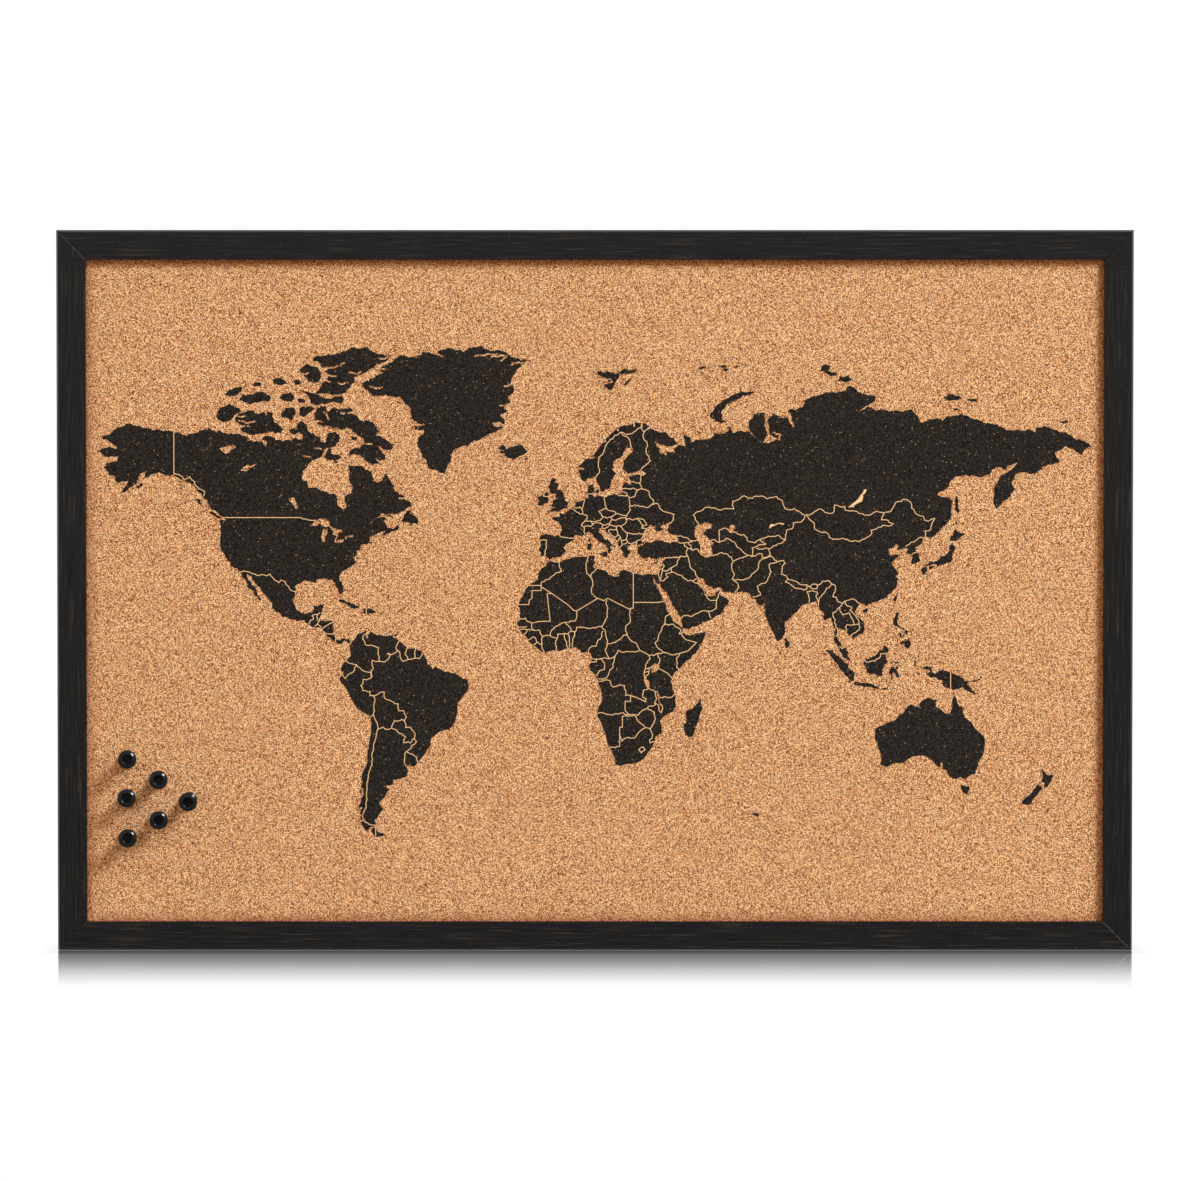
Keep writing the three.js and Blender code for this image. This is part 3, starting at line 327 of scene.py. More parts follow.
        (78.2, 8.9), (77.5, 8.1), (76.3, 9.8), (74.8, 13), (73.5, 16), (72.8, 19),
        (72.8, 21.2), (72.4, 22.1), (72, 21.2), (70.8, 20.8), (69, 22.2), (70.4, 22.9),
        (68.4, 23.4), (67.2, 24.8), (66.4, 25.4), (61.7, 25.1), (57.4, 25.7), (56.6, 27.1),
        (54.5, 26.6), (51.5, 27.9), (50.2, 30), (48.8, 30.3), (48, 29.8), (48.6, 28.1),
        (50.1, 26.6), (50.8, 25.2), (51.3, 26.1), (51.5, 24.4), (54.2, 24.2), (56.2, 26.2),
        (56.6, 24.5), (58.8, 23.5), (59.8, 22.5), (58, 20.4), (57.6, 18.9), (55.2, 17.4),
        (52.2, 15.6), (48.6, 14), (45, 12.8), (43.5, 12.8), (42.8, 15), (42.6, 16.8),
        (40.8, 19.6), (39.1, 21.4), (38.2, 23.8), (36.6, 26), (35, 28), (34.9, 29.5),
    ],
    "great_britain": [
        (-5.6, 50.1), (-3.6, 50.3), (-1.2, 50.7), (1.3, 51.1), (0.6, 51.5), (1.7, 52.7),
        (0.3, 53), (-0.4, 54.4), (-1.8, 55.8), (-3.2, 56.1), (-2, 57.4), (-4, 57.7),
        (-3.1, 58.6), (-5.1, 58.5), (-6, 57), (-5.6, 55.6), (-4.7, 54.8), (-3.2, 54.8),
        (-3, 53.6), (-4.5, 53.3), (-4.4, 52.3), (-5.2, 51.8), (-3.2, 51.4), (-4.4, 51.1),
    ],
    "ireland": [
        (-6.1, 54.2), (-6.2, 52.4), (-8.4, 51.8), (-10.2, 51.9), (-9.2, 53.1), (-10, 54.1),
        (-8.4, 54.5), (-7.6, 55.3), (-5.9, 55),
    ],
    "zealand": [(11.1, 55.6), (12.5, 56), (12.2, 55), (11.2, 55.1)],
    "funen": [(9.9, 55.5), (10.7, 55.4), (10.5, 55.1)],
    "gotland": [(18.2, 57.3), (19.2, 57.9), (18.6, 57.1)],
    "saaremaa": [(22, 58.3), (23.2, 58.6), (22.6, 58.1)],
    "sardinia": [(8.2, 40.9), (9.4, 41.2), (9.8, 40.2), (9.4, 39.1), (8.5, 39)],
    "corsica": [(8.6, 42.4), (9.5, 43), (9.4, 41.5), (8.8, 41.6)],
    "sicily": [(12.4, 38), (15.6, 38.3), (15.2, 36.7), (12.8, 37.5)],
    "mallorca": [(2.4, 39.6), (3.3, 39.8), (3.1, 39.3)],
    "evia": [(23.3, 38.9), (24.4, 38.2), (23.9, 38.6)],
    "cyprus": [(32.3, 35), (34.5, 35.6), (33.6, 34.7)],
    "svalbard": [
        (11.9, 80), (14, 79.8), (15.4, 80.1), (17.4, 79.8), (20, 79.7), (19, 78.6), (17.4, 77.4),
        (16.8, 76.8), (14.6, 77.5), (13.4, 78.3), (15.8, 78.6), (13, 78.9), (11.7, 79.3),
    ],
    "svalbard_north_east": [
        (18.5, 80.2), (20.2, 79.9), (21.6, 80.4), (23.4, 80.1), (27.2, 80.2), (25.6, 79.8),
        (23.8, 79.6), (22, 79.7), (20.4, 79.5),
    ],
    "svalbard_south_east": [
        (24.6, 78.9), (23.6, 78.3), (22.4, 77.7), (21.5, 77.7), (22.2, 78.3), (23.6, 78.8),
    ],
    "franz_josef_1": [(48, 80.3), (50, 80.8), (51.8, 80.7), (50, 80.3)],
    "franz_josef_2": [(55.5, 80.7), (57.4, 81), (58.8, 80.8), (57.2, 80.5)],
    "franz_josef_3": [(57, 80.3), (58.4, 80.5), (59.5, 80.3), (58.2, 80)],
    "franz_josef_4": [(60.9, 80.6), (62.2, 81), (63.5, 80.8), (62.4, 80.5)],
    "franz_josef_5": [(64.9, 80.8), (65.9, 80.9), (65.6, 80.7)],
    "novaya_zemlya": [
        (52.4, 72.2), (54, 73.3), (55.2, 74.3), (58, 75.3), (62, 76.3), (66, 76.6), (69.4, 76.9),
        (68.8, 76.6), (64.5, 76), (60.8, 75), (58.4, 73.9), (56.8, 72.9), (57.2, 71.8), (58, 71.2),
        (56.4, 70.9), (55, 71.2), (53.6, 71.8),
    ],
    "kolguyev": [(48.3, 69.2), (49.8, 69), (49, 68.7)],
    "vaygach": [(59, 70.2), (60.4, 70), (59.6, 69.7)],
    "severnaya_zemlya_north": [
        (93, 80.1), (93.4, 80.8), (95.4, 81.1), (97, 80.8), (96.4, 80.3), (94.6, 80),
    ],
    "severnaya_zemlya_middle": [(94.4, 79.8), (95.8, 80.2), (99.1, 79.8), (98.8, 79.3), (96.6, 79.2)],
    "severnaya_zemlya_south": [
        (99.5, 78.5), (100.4, 79.1), (103.2, 79.3), (104.9, 78.7), (102.8, 78.3),
    ],
    "kotelny": [
        (137.5, 75.5), (139.6, 76.2), (143.2, 76), (144.7, 75.5), (142.6, 75.2), (139.4, 75.1),
    ],
    "new_siberia": [(146.3, 75.4), (150.5, 75.3), (149.6, 75), (147, 75.1)],
    "lyakhovsky": [(141.1, 73.6), (142.6, 73.8), (143.5, 73.4), (141.6, 73.2)],
    "wrangel": [(179.1, 71.2), (181.2, 71.5), (182.3, 71.2), (180.6, 70.9)],
    "st_lawrence": [(189.2, 63.6), (190.7, 63.4), (190, 63.2)],
    "sakhalin": [
        (142.4, 54.3), (143.1, 52.6), (143.5, 50.4), (143.2, 49.6), (142.4, 50.2), (142, 51.8),
    ],
    "sakhalin_south": [(142.2, 47.6), (142.9, 46.8), (142.6, 46.2), (142.1, 46.8)],
    "hokkaido": [
        (141.8, 45.4), (143.4, 44.2), (145.4, 43.9), (143.3, 42.1), (141.2, 41.8), (140, 41.6),
        (140.3, 43.2), (141.4, 43.6),
    ],
    "honshu": [
        (140.9, 41.4), (142, 39.6), (141, 38), (140.8, 35.8), (139.8, 35), (138.2, 34.7),
        (136.8, 34.4), (135.7, 33.6), (135, 34.6), (133, 34.3), (131, 34.1), (132.8, 35.5),
        (135.6, 35.7), (136.8, 37.2), (138.6, 37.4), (139.9, 39), (140, 40.5),
    ],
    "kyushu": [(130.9, 33.9), (132, 33.3), (131.4, 31.5), (130.2, 31.3), (129.8, 33)],
    "shikoku": [(132.6, 33.9), (134.5, 34.2), (134, 33.3), (132.8, 32.8)],
    "taiwan": [(121.6, 25.2), (121.4, 23.4), (120.8, 22), (120.2, 23.1)],
    "hainan": [(108.7, 19.4), (110.4, 20.1), (110.8, 19.4), (109.6, 18.3)],
    "luzon": [
        (120.6, 18.5), (122.2, 18.4), (121.6, 16), (121.8, 14.2), (124, 13), (123.6, 12.7),
        (122, 13.6), (120.7, 13.8), (120.1, 15.8),
    ],
    "mindoro": [(120.6, 13.4), (121.4, 13.1), (121.2, 12.3)],
    "visayas_west": [(122, 11.7), (123.1, 11.4), (123.2, 9.3), (122.5, 10.2)],
    "visayas_east": [(124.4, 12.5), (125.4, 12), (125.2, 10.6), (124.6, 11)],
    "cebu": [(124, 11.1), (123.9, 10.2), (123.4, 9.6)],
    "mindanao": [
        (122, 7.4), (123.4, 8.6), (124.8, 8.6), (125.6, 9.7), (126.5, 7.6), (126, 6.4),
        (125.4, 5.7), (124.2, 6.4), (123.9, 7.6),
    ],
    "borneo": [
        (109.6, 2), (111.2, 2.4), (113, 3.2), (115, 5), (116.8, 7), (117.8, 6.4),
        (118.6, 5.2), (117.2, 4.2), (117.4, 2.2), (118.1, 1), (116.8, -0.2), (116, -2),
        (116.2, -3.9), (114.6, -4), (113, -3.2), (111.7, -3.2), (110.2, -2.8), (109.9, -1),
        (109, 0.4),
    ],
    "sumatra": [
        (95.3, 5.6), (97.5, 5.2), (99, 3.6), (100.8, 2.2), (103, 0.6), (103.6, -1),
        (104.6, -1.9), (106, -3), (105.8, -5.6), (104.6, -5.8), (102.4, -4), (100.6, -1.6),
        (99, 0.8), (98, 2), (96.8, 3.6), (95.4, 4.8),
    ],
    "java": [
        (105.3, -6.5), (106.2, -6), (108.4, -6.6), (110.8, -6.4), (112.6, -6.9), (114.4, -7.8),
        (114.4, -8.6), (112.6, -8.3), (109.6, -7.8), (106.6, -7.4),
    ],
    "bali_lombok": [(115.8, -8.3), (118.3, -8.3), (117.4, -8.8), (116, -8.8)],
    "flores": [(120.2, -8.4), (120.9, -8.5), (120.6, -8.8)],
    "wetar": [(124.8, -8.4), (125.6, -8.4), (125.2, -8.8)],
    "timor_west": [(123.3, -9.7), (123.8, -9.7), (123.5, -10)],
    "sulawesi": [
        (118.6, -2.6), (119.4, -0.6), (120.2, -0.4), (120.6, -1.4), (121.9, -0.6), (122, -0.9),
        (121, -1.8), (121.8, -3), (122.2, -4.4), (121.2, -4.4), (120.6, -2.8), (119.9, -2.6),
        (119.8, -3.6), (119.9, -5), (119.3, -5.2), (119.2, -3.6),
    ],
    "sulawesi_north": [(120.4, 0.6), (121.4, 1.1), (122.6, 0.8), (121, 0.5)],
    "halmahera": [(127.6, 1.8), (128.6, 1.2), (128, 0.4), (128.2, -0.8), (127.6, 0)],
    "seram": [(128.2, -3), (129.6, -3.1), (129, -3.4)],
    "new_guinea": [
        (131, -0.8), (132.6, -0.4), (134.1, -0.9), (134.3, -2.6), (135.4, -3.3), (136.6, -2.2),
        (138, -1.7), (140.8, -2.6), (144, -3.9), (145.8, -5.1), (146, -5.7), (147.8, -6.4),
        (147, -6.8), (148.6, -8.6), (150.8, -10.4), (149.6, -10.5), (147.2, -9.4), (145.4, -7.8),
        (143.6, -8.6), (142, -9.2), (139.4, -8.1), (138.2, -7.6), (138, -5.6), (135.8, -4.5),
        (133, -4), (132, -2.9), (133.8, -2.3), (131.6, -1.6),
    ],
    "new_britain": [
        (148.4, -5.6), (150, -5.5), (151.6, -4.9), (152.2, -4.1), (152.4, -4.5), (151.4, -5.8),
        (149.4, -6.2),
    ],
    "australia": [
        (142.5, -10.8), (143.3, -12.8), (143.8, -14.4), (145.2, -15), (146, -18.2), (147.4, -19.4),
        (149, -20.5), (150.8, -23.2), (153.1, -25), (153.5, -28.2), (152.8, -31.4), (151, -34),
        (150, -37.2), (147.8, -38), (146.2, -38.9), (144.6, -38.2), (143.4, -38.8), (140.4, -37.9),
        (139.5, -36), (138, -35.6), (138.2, -34), (137.6, -33.4), (137.2, -35.2), (136, -34.8),
        (135.2, -34), (134, -32.6), (131.4, -31.5), (128.8, -31.6), (126, -32.3), (123.6, -33.9),
        (120, -33.9), (118, -35), (115.2, -34.3), (115.7, -32), (114.8, -29.4), (113.4, -26),
        (113.6, -22.6), (115, -21.6), (117.6, -20.7), (119.6, -20), (121.4, -19.2), (122.3, -17.6),
        (123.6, -17.2), (124.6, -15.6), (126.4, -14), (128, -14.8), (129.4, -15), (129.7, -13.6),
        (131, -12.5), (132.8, -11.7), (134.6, -12.5), (135.9, -12.4), (135.4, -14.8), (137.6, -16),
        (139.4, -17.4), (140.8, -17.5), (141.4, -15.8), (141.6, -12.8),
    ],
    "tasmania": [
        (144.7, -40.9), (146.4, -41.1), (147.8, -40.9), (147.4, -42.8), (146.6, -43.5), (145.4, -42.6),
    ],
    "new_zealand_north": [
        (173.4, -35.2), (174.4, -35.8), (175, -36.8), (176.2, -37.7), (178.4, -37.7), (177.6, -39),
        (176.8, -40.2), (175.2, -41.6), (174.8, -41.2), (175, -40), (173.8, -39.3), (174.6, -38.2),
        (174.4, -37), (173.4, -35.4),
    ],
    "new_zealand_south": [
        (172.7, -40.5), (174.2, -41.4), (173.2, -42.8), (172.6, -43.8), (171.2, -44.6), (170.6, -45.9),
        (168.8, -46.6), (166.6, -46), (167.8, -44.6), (170.4, -43.1), (171.6, -41.8),
    ],
    "stewart": [(167.8, -46.9), (168.1, -46.8), (168, -47.1)],
    "sri_lanka": [(79.9, 9.6), (81.2, 8.6), (81.8, 7), (80.6, 5.9), (79.9, 7)],
    "kerguelen": [(68, -48.6), (69.6, -48.8), (70.8, -49.3), (70, -50), (69, -49.6)],
}

LAKES = {
    "great_bear": [
        (-124.6, 66.2), (-121.6, 66.9), (-118.4, 66.6), (-120.4, 65.8), (-122, 65.1), (-123.2, 65.3),
    ],
    "great_slave": [(-117.2, 61.2), (-114.6, 62.5), (-111, 62.8), (-113.4, 61.8), (-115, 60.9)],
    "winnipeg": [(-99.6, 54.1), (-97.6, 54.5), (-96, 51.9), (-96.8, 51.1), (-98.6, 52.8)],
    "superior": [
        (-92, 46.8), (-90.2, 47.9), (-88.2, 48.8), (-86, 48.6), (-84.8, 47.6), (-84.8, 46.6),
        (-87.2, 46.5), (-88.4, 47.2), (-90.4, 46.6),
    ],
    "michigan": [(-87, 45.8), (-85.4, 46), (-85.6, 44.8), (-86.4, 43.6), (-86.4, 42), (-87.6, 41.8),
                 (-87.8, 43.2), (-87.4, 44.8)],
    "huron": [
        (-84.6, 45.9), (-82.8, 46), (-80.4, 45.6), (-80.2, 44.6), (-81.6, 44.8), (-81.8, 43.4),
        (-82.5, 43.1), (-82.8, 44), (-83.6, 44), (-83.4, 45.1),
    ],
    "erie": [(-83.3, 41.8), (-81.6, 42.6), (-79.2, 42.8), (-81.6, 41.6)],
    "ontario": [(-79.7, 43.3), (-79, 43.8), (-76.6, 44.1), (-76.4, 43.6)],
    "maracaibo": [(-71.9, 10.9), (-71.3, 10.6), (-71.2, 9.3), (-72, 9.6)],
    "caspian": [
        (47.2, 45), (49, 46.3), (51.2, 47.2), (53.6, 46.7), (53.3, 45.4), (51.2, 45),
        (51, 44.5), (50.4, 44.2), (51.6, 43.2), (52.6, 42.4), (52.6, 41.6), (54.4, 41.4),
        (53.8, 40.6), (53, 40.2), (53.6, 39.2), (53.9, 37.3), (51.4, 36.7), (49.6, 37.5),
        (48.9, 38.6), (49.4, 40.2), (48.6, 41.8), (47.6, 42.9),
    ],
    "aral": [(59.2, 44.6), (59.7, 46), (61.4, 46.6), (61.9, 45.4), (60.6, 43.9)],
    "balkhash": [
        (74, 45.3), (74.8, 46.7), (77, 46.9), (79.7, 47), (79.6, 46.6), (76.4, 46.4), (75, 45.9),
    ],
    "baikal": [(103.5, 51.2), (105.4, 51.3), (108.4, 52.9), (110.2, 56), (109.1, 55.9), (106.6, 53.3)],
    "victoria": [(31.4, -1), (32.8, 0.6), (34.6, 0.1), (34.4, -1.4), (33.4, -2.6), (31.8, -2.9)],
    "tanganyika": [(29.2, -3.4), (29.7, -4.2), (31, -8.4), (30.4, -8.2), (29.2, -5.8)],
    "malawi": [(34, -9.6), (34.6, -11), (34.8, -13.8), (34.2, -12.4), (33.8, -10.4)],
}

# Fjords and narrow bays, as open lines cut out of the land.
INLETS = {
    "suez": [(34, 27.6), (32.6, 29.8)],
    "greenland_north_main": [(-32.5, 82.3), (-27.5, 82.6), (-22, 82.4)],
    "greenland_north_spur_1": [(-23.1, 81.6), (-21.2, 82.4)],
    "greenland_north_spur_2": [(-26.7, 82.2), (-24.5, 82.6)],
    "greenland_north_east": [(-19.5, 80.9), (-14.8, 81.3)],
    "greenland_east_1": [(-22, 77.6), (-18.4, 78.1)],
    "greenland_east_2": [(-23.6, 74.2), (-20.6, 74.4)],
    "greenland_top_1": [(-53.8, 82.1), (-54.2, 82.6)],
    "greenland_top_2": [(-44.4, 82.2), (-47, 82.6)],
    "greenland_west_1": [(-70.5, 77.5), (-66, 77.4)],
    "greenland_west_2": [(-67.5, 80.2), (-64.7, 80.4)],
    "greenland_west_3": [(-54.5, 70.6), (-50.9, 70.6)],
    "ellesmere_1": [(-86, 80.6), (-82.6, 80.7), (-79.5, 81.3)],
    "ellesmere_2": [(-87.2, 79.9), (-82.5, 79.2)],
    "ellesmere_3": [(-87.7, 79), (-84.5, 78.3)],
    "ellesmere_4": [(-82, 78.2), (-78.2, 78.2)],
    "ellesmere_5": [(-67, 82), (-63.6, 82.2)],
    "ellesmere_6": [(-77.8, 79.8), (-73.6, 79.9)],
    "axel_heiberg": [(-95.3, 79.6), (-92.4, 79.7)],
    "baffin_1": [(-86.8, 73), (-85, 71.6)],
    "baffin_2": [(-89.6, 71.3), (-87.5, 71.1)],
    "baffin_3": [(-72.3, 66.7), (-69.8, 66.5)],
    "wager_bay": [(-90.3, 66.3), (-87.8, 66.1)],
    "chesterfield": [(-94.3, 64.5), (-91.4, 64.1)],
    "victoria_1": [(-117.5, 72.2), (-115.1, 72.3)],
    "victoria_2": [(-117.7, 71.4), (-111.7, 71.3)],
    "victoria_3": [(-108.1, 73.5), (-107.6, 72.5)],
    "hamilton": [(-60, 54.2), (-57.5, 54.5)],
    "svalbard_1": [(11, 79.3), (13.6, 79), (16.8, 78.7)],
    "svalbard_2": [(13, 77.7), (15.4, 78.1), (17.4, 78.4)],
    "ob": [(77.8, 67.4), (78.4, 68.6), (75.4, 69)],
    "yenisei": [(83, 70.2), (81.6, 71.6)],
    "norway_1": [(5, 61.1), (6.8, 61.1)],
    "norway_2": [(8.6, 63.7), (10.6, 63.7)],
    "norway_3": [(13.2, 67.3), (14.8, 67.2)],
    "norway_4": [(18.6, 70.2), (19.4, 69.4)],
    "norway_5": [(25, 71.2), (25.4, 70.2)],
    "norway_6": [(28.2, 71), (28.2, 70.2)],
    "chile_1": [(-75, -47.6), (-73.6, -47.4)],
    "chile_2": [(-74.6, -49.4), (-73.2, -49.6)],
    "chile_3": [(-74.4, -51.2), (-72.6, -51)],
}

# Borders between countries, as open lines.
BORDERS = {
    "alaska_straight": [(-141, 69.9), (-141, 60.3)],
    "alaska_panhandle": [
        (-141, 60.3), (-139, 60.2), (-137.4, 59), (-135.4, 59.7), (-133.6, 58.4), (-131.8, 56.6),
        (-130, 56), (-130.2, 54.8),
    ],
    "parallel_49": [(-123.2, 49), (-95.2, 49)],
    "united_states_north": [(-95.2, 49), (-94.6, 48.7), (-92, 48.3), (-90.8, 48.2), (-89.5, 48)],
    "great_lakes_west": [(-84.8, 46.5), (-84, 46.1)],
    "great_lakes_east": [(-82.5, 43.1), (-83.1, 41.9)],
    "niagara": [(-79, 43.3), (-79, 42.8)],
    "mexico_north": [
        (-117.2, 32.5), (-114.8, 32.6), (-111.1, 31.3), (-108.2, 31.4), (-106.4, 31.8), (-104.6, 29.7),
        (-103.2, 28.9), (-102.4, 29.8), (-101, 29.4), (-99.6, 27.6), (-98.8, 26.3), (-97.1, 25.9),
    ],
    "guatemala_mexico": [
        (-92.3, 14.5), (-91.8, 15.8), (-90.6, 16.4), (-91.2, 17.4), (-89.2, 17.9), (-88.3, 18.5),
    ],
    "guatemala_east": [(-89.2, 17.9), (-89.2, 16), (-88.7, 15.7)],
    "honduras_west": [(-88.5, 15.7), (-89.3, 14.5), (-90.1, 13.7)],
    "honduras_salvador": [(-89.3, 14.4), (-88.4, 13.9), (-87.7, 13.4)],
    "honduras_nicaragua": [(-87.4, 12.9), (-86.2, 13.8), (-84.8, 14.7), (-83.1, 15)],
    "nicaragua_costa_rica": [(-85.9, 11.1), (-84.6, 11), (-83.6, 10.9)],
    "costa_rica_panama": [(-82.6, 9.6), (-82.9, 8.1)],
    "panama_colombia": [(-77.2, 8.7), (-77.9, 7.1)],
    "haiti": [(-71.7, 20), (-71.8, 17.9)],
    "colombia_venezuela": [
        (-71.3, 11.9), (-72.6, 10.8), (-73.2, 9.2), (-72.4, 8.2), (-72, 7), (-70, 7), (-67.5, 6.2),
        (-67.8, 4), (-67.3, 2.4), (-66.9, 1.2),
    ],
    "venezuela_brazil": [
        (-66.9, 1.2), (-65.5, 0.9), (-64, 1.9), (-63.4, 3.8), (-64.4, 4.1), (-62.8, 3.7), (-61, 4.6),
        (-60.7, 5.2),
    ],
    "venezuela_guyana": [(-60, 8.5), (-60.7, 7.4), (-61.3, 6), (-60.7, 5.2)],
    "guyana_brazil": [(-60.7, 5.2), (-60, 4.8), (-59.7, 2.8), (-58.9, 1.3), (-56.6, 1.9)],
    "guyana_suriname": [(-57.2, 6), (-58, 4.2), (-56.6, 1.9)],
    "suriname_brazil": [(-56.6, 1.9), (-54.6, 2.3)],
    "suriname_french_guiana": [(-54, 5.9), (-54.4, 4), (-54.6, 2.3)],
    "french_guiana_brazil": [(-54.6, 2.3), (-52.8, 2.2), (-51.7, 4.2)],
    "colombia_brazil": [
        (-66.9, 1.2), (-69.8, 1.7), (-69.8, 0.6), (-69.4, -1), (-69.9, -4.3),
    ],
    "colombia_ecuador_peru": [
        (-78.9, 1.4), (-77, 0.4), (-75.3, -0.1), (-74, -1.2), (-72.4, -2.4), (-70.2, -2.7),
        (-69.9, -4.3),
    ],
    "ecuador_peru": [(-80.4, -3.4), (-79.4, -5), (-78.2, -3.4), (-76.6, -2.6), (-75.3, -0.1)],
    "peru_brazil": [
        (-69.9, -4.3), (-73, -5.2), (-73.9, -7.4), (-73, -9.3), (-70.6, -9.5), (-70.6, -11), (-69.6, -11),
    ],
    "peru_bolivia": [(-69.6, -11), (-68.8, -12.8), (-69.2, -15), (-69, -16.4), (-69.5, -17.5)],
    "peru_chile": [(-69.5, -17.5), (-70.6, -18.4)],
    "brazil_bolivia": [
        (-69.6, -11), (-67.4, -10.2), (-65.4, -9.8), (-65.2, -12), (-62.8, -13), (-60.4, -13.8),
        (-60.2, -16.3), (-58.4, -16.3), (-57.6, -18), (-58.1, -20.1),
    ],
    "chile_bolivia": [(-69.5, -17.5), (-68.6, -19.6), (-68, -22.9)],
    "bolivia_argentina": [(-68, -22.9), (-66, -21.9), (-64.6, -22.8), (-62.7, -22.2)],
    "bolivia_paraguay": [(-62.7, -22.2), (-61.8, -19.7), (-59.2, -19.3), (-58.1, -20.1)],
    "brazil_paraguay": [(-58.1, -20.1), (-57.8, -22.1), (-55.8, -22.3), (-54.4, -24), (-54.6, -25.6)],
    "argentina_paraguay": [
        (-62.7, -22.2), (-60, -24), (-57.7, -25.4), (-58.6, -27.2), (-56, -27.3), (-54.6, -25.6),
    ],
    "argentina_brazil": [(-54.6, -25.6), (-53.8, -26.8), (-55.6, -28.2), (-57.6, -30.2)],
    "uruguay": [(-58.3, -34), (-58.1, -32), (-57.6, -30.2), (-55.6, -30.9), (-53.6, -32), (-53.3, -33.8)],
    "chile_argentina": [
        (-68, -22.9), (-68.4, -25), (-69.4, -28.4), (-70, -31), (-70, -33.4), (-70.6, -36), (-71.2, -38.4),
        (-71.8, -40.6), (-71.8, -43), (-71.6, -45), (-72, -47.4), (-73.3, -49.4), (-72.4, -51.4),
        (-70.6, -52), (-68.3, -52.4),
    ],
    "tierra_del_fuego": [(-68.6, -52.6), (-68.6, -55)],
    "northern_ireland": [(-7.4, 55.2), (-7.9, 54.3), (-6.1, 54.1)],
    "portugal": [(-8.9, 41.9), (-6.6, 41.9), (-6.9, 40.4), (-7.2, 38.8), (-7.4, 37.1)],
    "pyrenees": [(-1.9, 43.4), (-0.4, 42.8), (1.6, 42.6), (3.3, 42.4)],
    "france_italy": [(7.5, 43.6), (6.9, 44.4), (7, 45.9)],
    "france_switzerland": [(7, 45.9), (6, 46.3), (7.4, 47.6)],
    "france_germany": [(7.4, 47.6), (8.1, 49), (6.4, 49.5)],
    "france_belgium": [(6.4, 49.5), (4.4, 50), (2.4, 51.1)],
    "switzerland_italy": [(7, 45.9), (8.4, 46.2), (9.2, 45.9), (10.4, 46.8)],
    "switzerland_germany": [(7.4, 47.6), (9.6, 47.5)],
    "switzerland_austria": [(9.6, 47.5), (9.7, 47), (10.4, 46.8)],
    "austria_italy": [(10.4, 46.8), (12.2, 47), (13.7, 46.5)],
    "austria_germany": [(9.6, 47.5), (12.8, 47.6), (13.8, 48.7)],
    "austria_slovenia": [(13.7, 46.5), (16.2, 46.8)],
    "italy_slovenia": [(13.7, 46.5), (13.7, 45.6)],
    "belgium_germany": [(6.4, 49.5), (6.1, 50.8)],
    "belgium_netherlands": [(6.1, 50.8), (5.4, 51.4), (3.4, 51.3)],
    "netherlands_germany": [(6.1, 50.8), (6.8, 52.2), (7.2, 53.5)],
    "germany_denmark": [(8.5, 54.9), (9.9, 54.8)],
    "germany_poland": [(14.3, 54), (14.6, 52.4), (15, 51)],
    "germany_czechia": [(15, 51), (12.3, 50.2), (13.8, 48.7)],
    "poland_czechia": [(15, 51), (16.6, 50.3), (18.8, 49.6)],
    "austria_czechia": [(13.8, 48.7), (16.9, 48.7)],
    "austria_hungary": [(16.9, 48.7), (17.1, 48), (16.2, 46.8)],
    "czechia_slovakia": [(16.9, 48.7), (18.8, 49.6)],
    "poland_slovakia": [(18.8, 49.6), (20.4, 49.3), (22.6, 49.1)],
    "slovakia_hungary": [(17.1, 48), (18.8, 47.8), (20.6, 48.5), (22.2, 48.4)],
    "slovakia_ukraine": [(22.6, 49.1), (22.2, 48.4)],
    "poland_ukraine": [(22.6, 49.1), (24, 50.6), (23.6, 51.6)],
    "poland_belarus": [(23.6, 51.6), (23.5, 54)],
    "poland_lithuania_russia": [(19.6, 54.4), (22.8, 54.4), (23.5, 54)],
    "kaliningrad": [(22.8, 54.4), (22.6, 55), (21.2, 55.3)],
    "lithuania_belarus": [(23.5, 54), (25.6, 54.2), (26.6, 55.7)],
    "lithuania_latvia": [(21, 56.1), (24.6, 56.3), (26.6, 55.7)],
    "latvia_belarus": [(26.6, 55.7), (28.2, 56.1)],
    "latvia_russia": [(28.2, 56.1), (27.4, 57.5)],
    "latvia_estonia": [(24.4, 57.9), (27.4, 57.5)],
    "estonia_russia": [(27.4, 57.5), (27.6, 58.8), (28, 59.5)],
    "finland_russia": [
        (27.9, 60.5), (31.4, 62.8), (29.8, 64.4), (30, 67), (28.6, 68.2), (29, 69.1), (30.6, 69.8),
    ],
    "finland_norway": [(29, 69.1), (27.8, 70.1), (25.8, 69.3), (23.6, 68.7), (20.6, 69.1)],
    "finland_sweden": [(24.2, 65.7), (23.8, 67.4), (20.6, 69.1)],
    "norway_sweden": [
        (20.6, 69.1), (18.2, 68.4), (16.2, 67.2), (14.6, 65.6), (13.4, 64.2), (12.2, 63.6), (12.2, 61.6),
        (12.6, 60.6), (11.6, 59.4), (11.2, 58.9),
    ],
    "belarus_ukraine": [(23.6, 51.6), (27.4, 51.5), (30.6, 51.3), (31.8, 52.1)],
    "belarus_russia": [(28.2, 56.1), (30.8, 55.4), (31.2, 54), (32.6, 53.2), (31.8, 52.1)],
    "ukraine_russia": [
        (31.8, 52.1), (34.2, 52.2), (35.4, 50.6), (38, 49.8), (40, 49.4), (39.8, 47.9), (38.2, 47.1),
    ],
    "hungary_romania": [(22.2, 48.4), (22.6, 47.8), (21.2, 46.4), (20.3, 46.1)],
    "ukraine_romania": [(22.4, 48.1), (24.8, 47.8), (26.6, 48.2)],
    "moldova_west": [(26.6, 48.2), (28.2, 46.6), (28.2, 45.4)],
    "moldova_east": [(26.6, 48.2), (28.6, 48.1), (30, 46.5), (28.9, 46.3), (28.2, 45.4)],
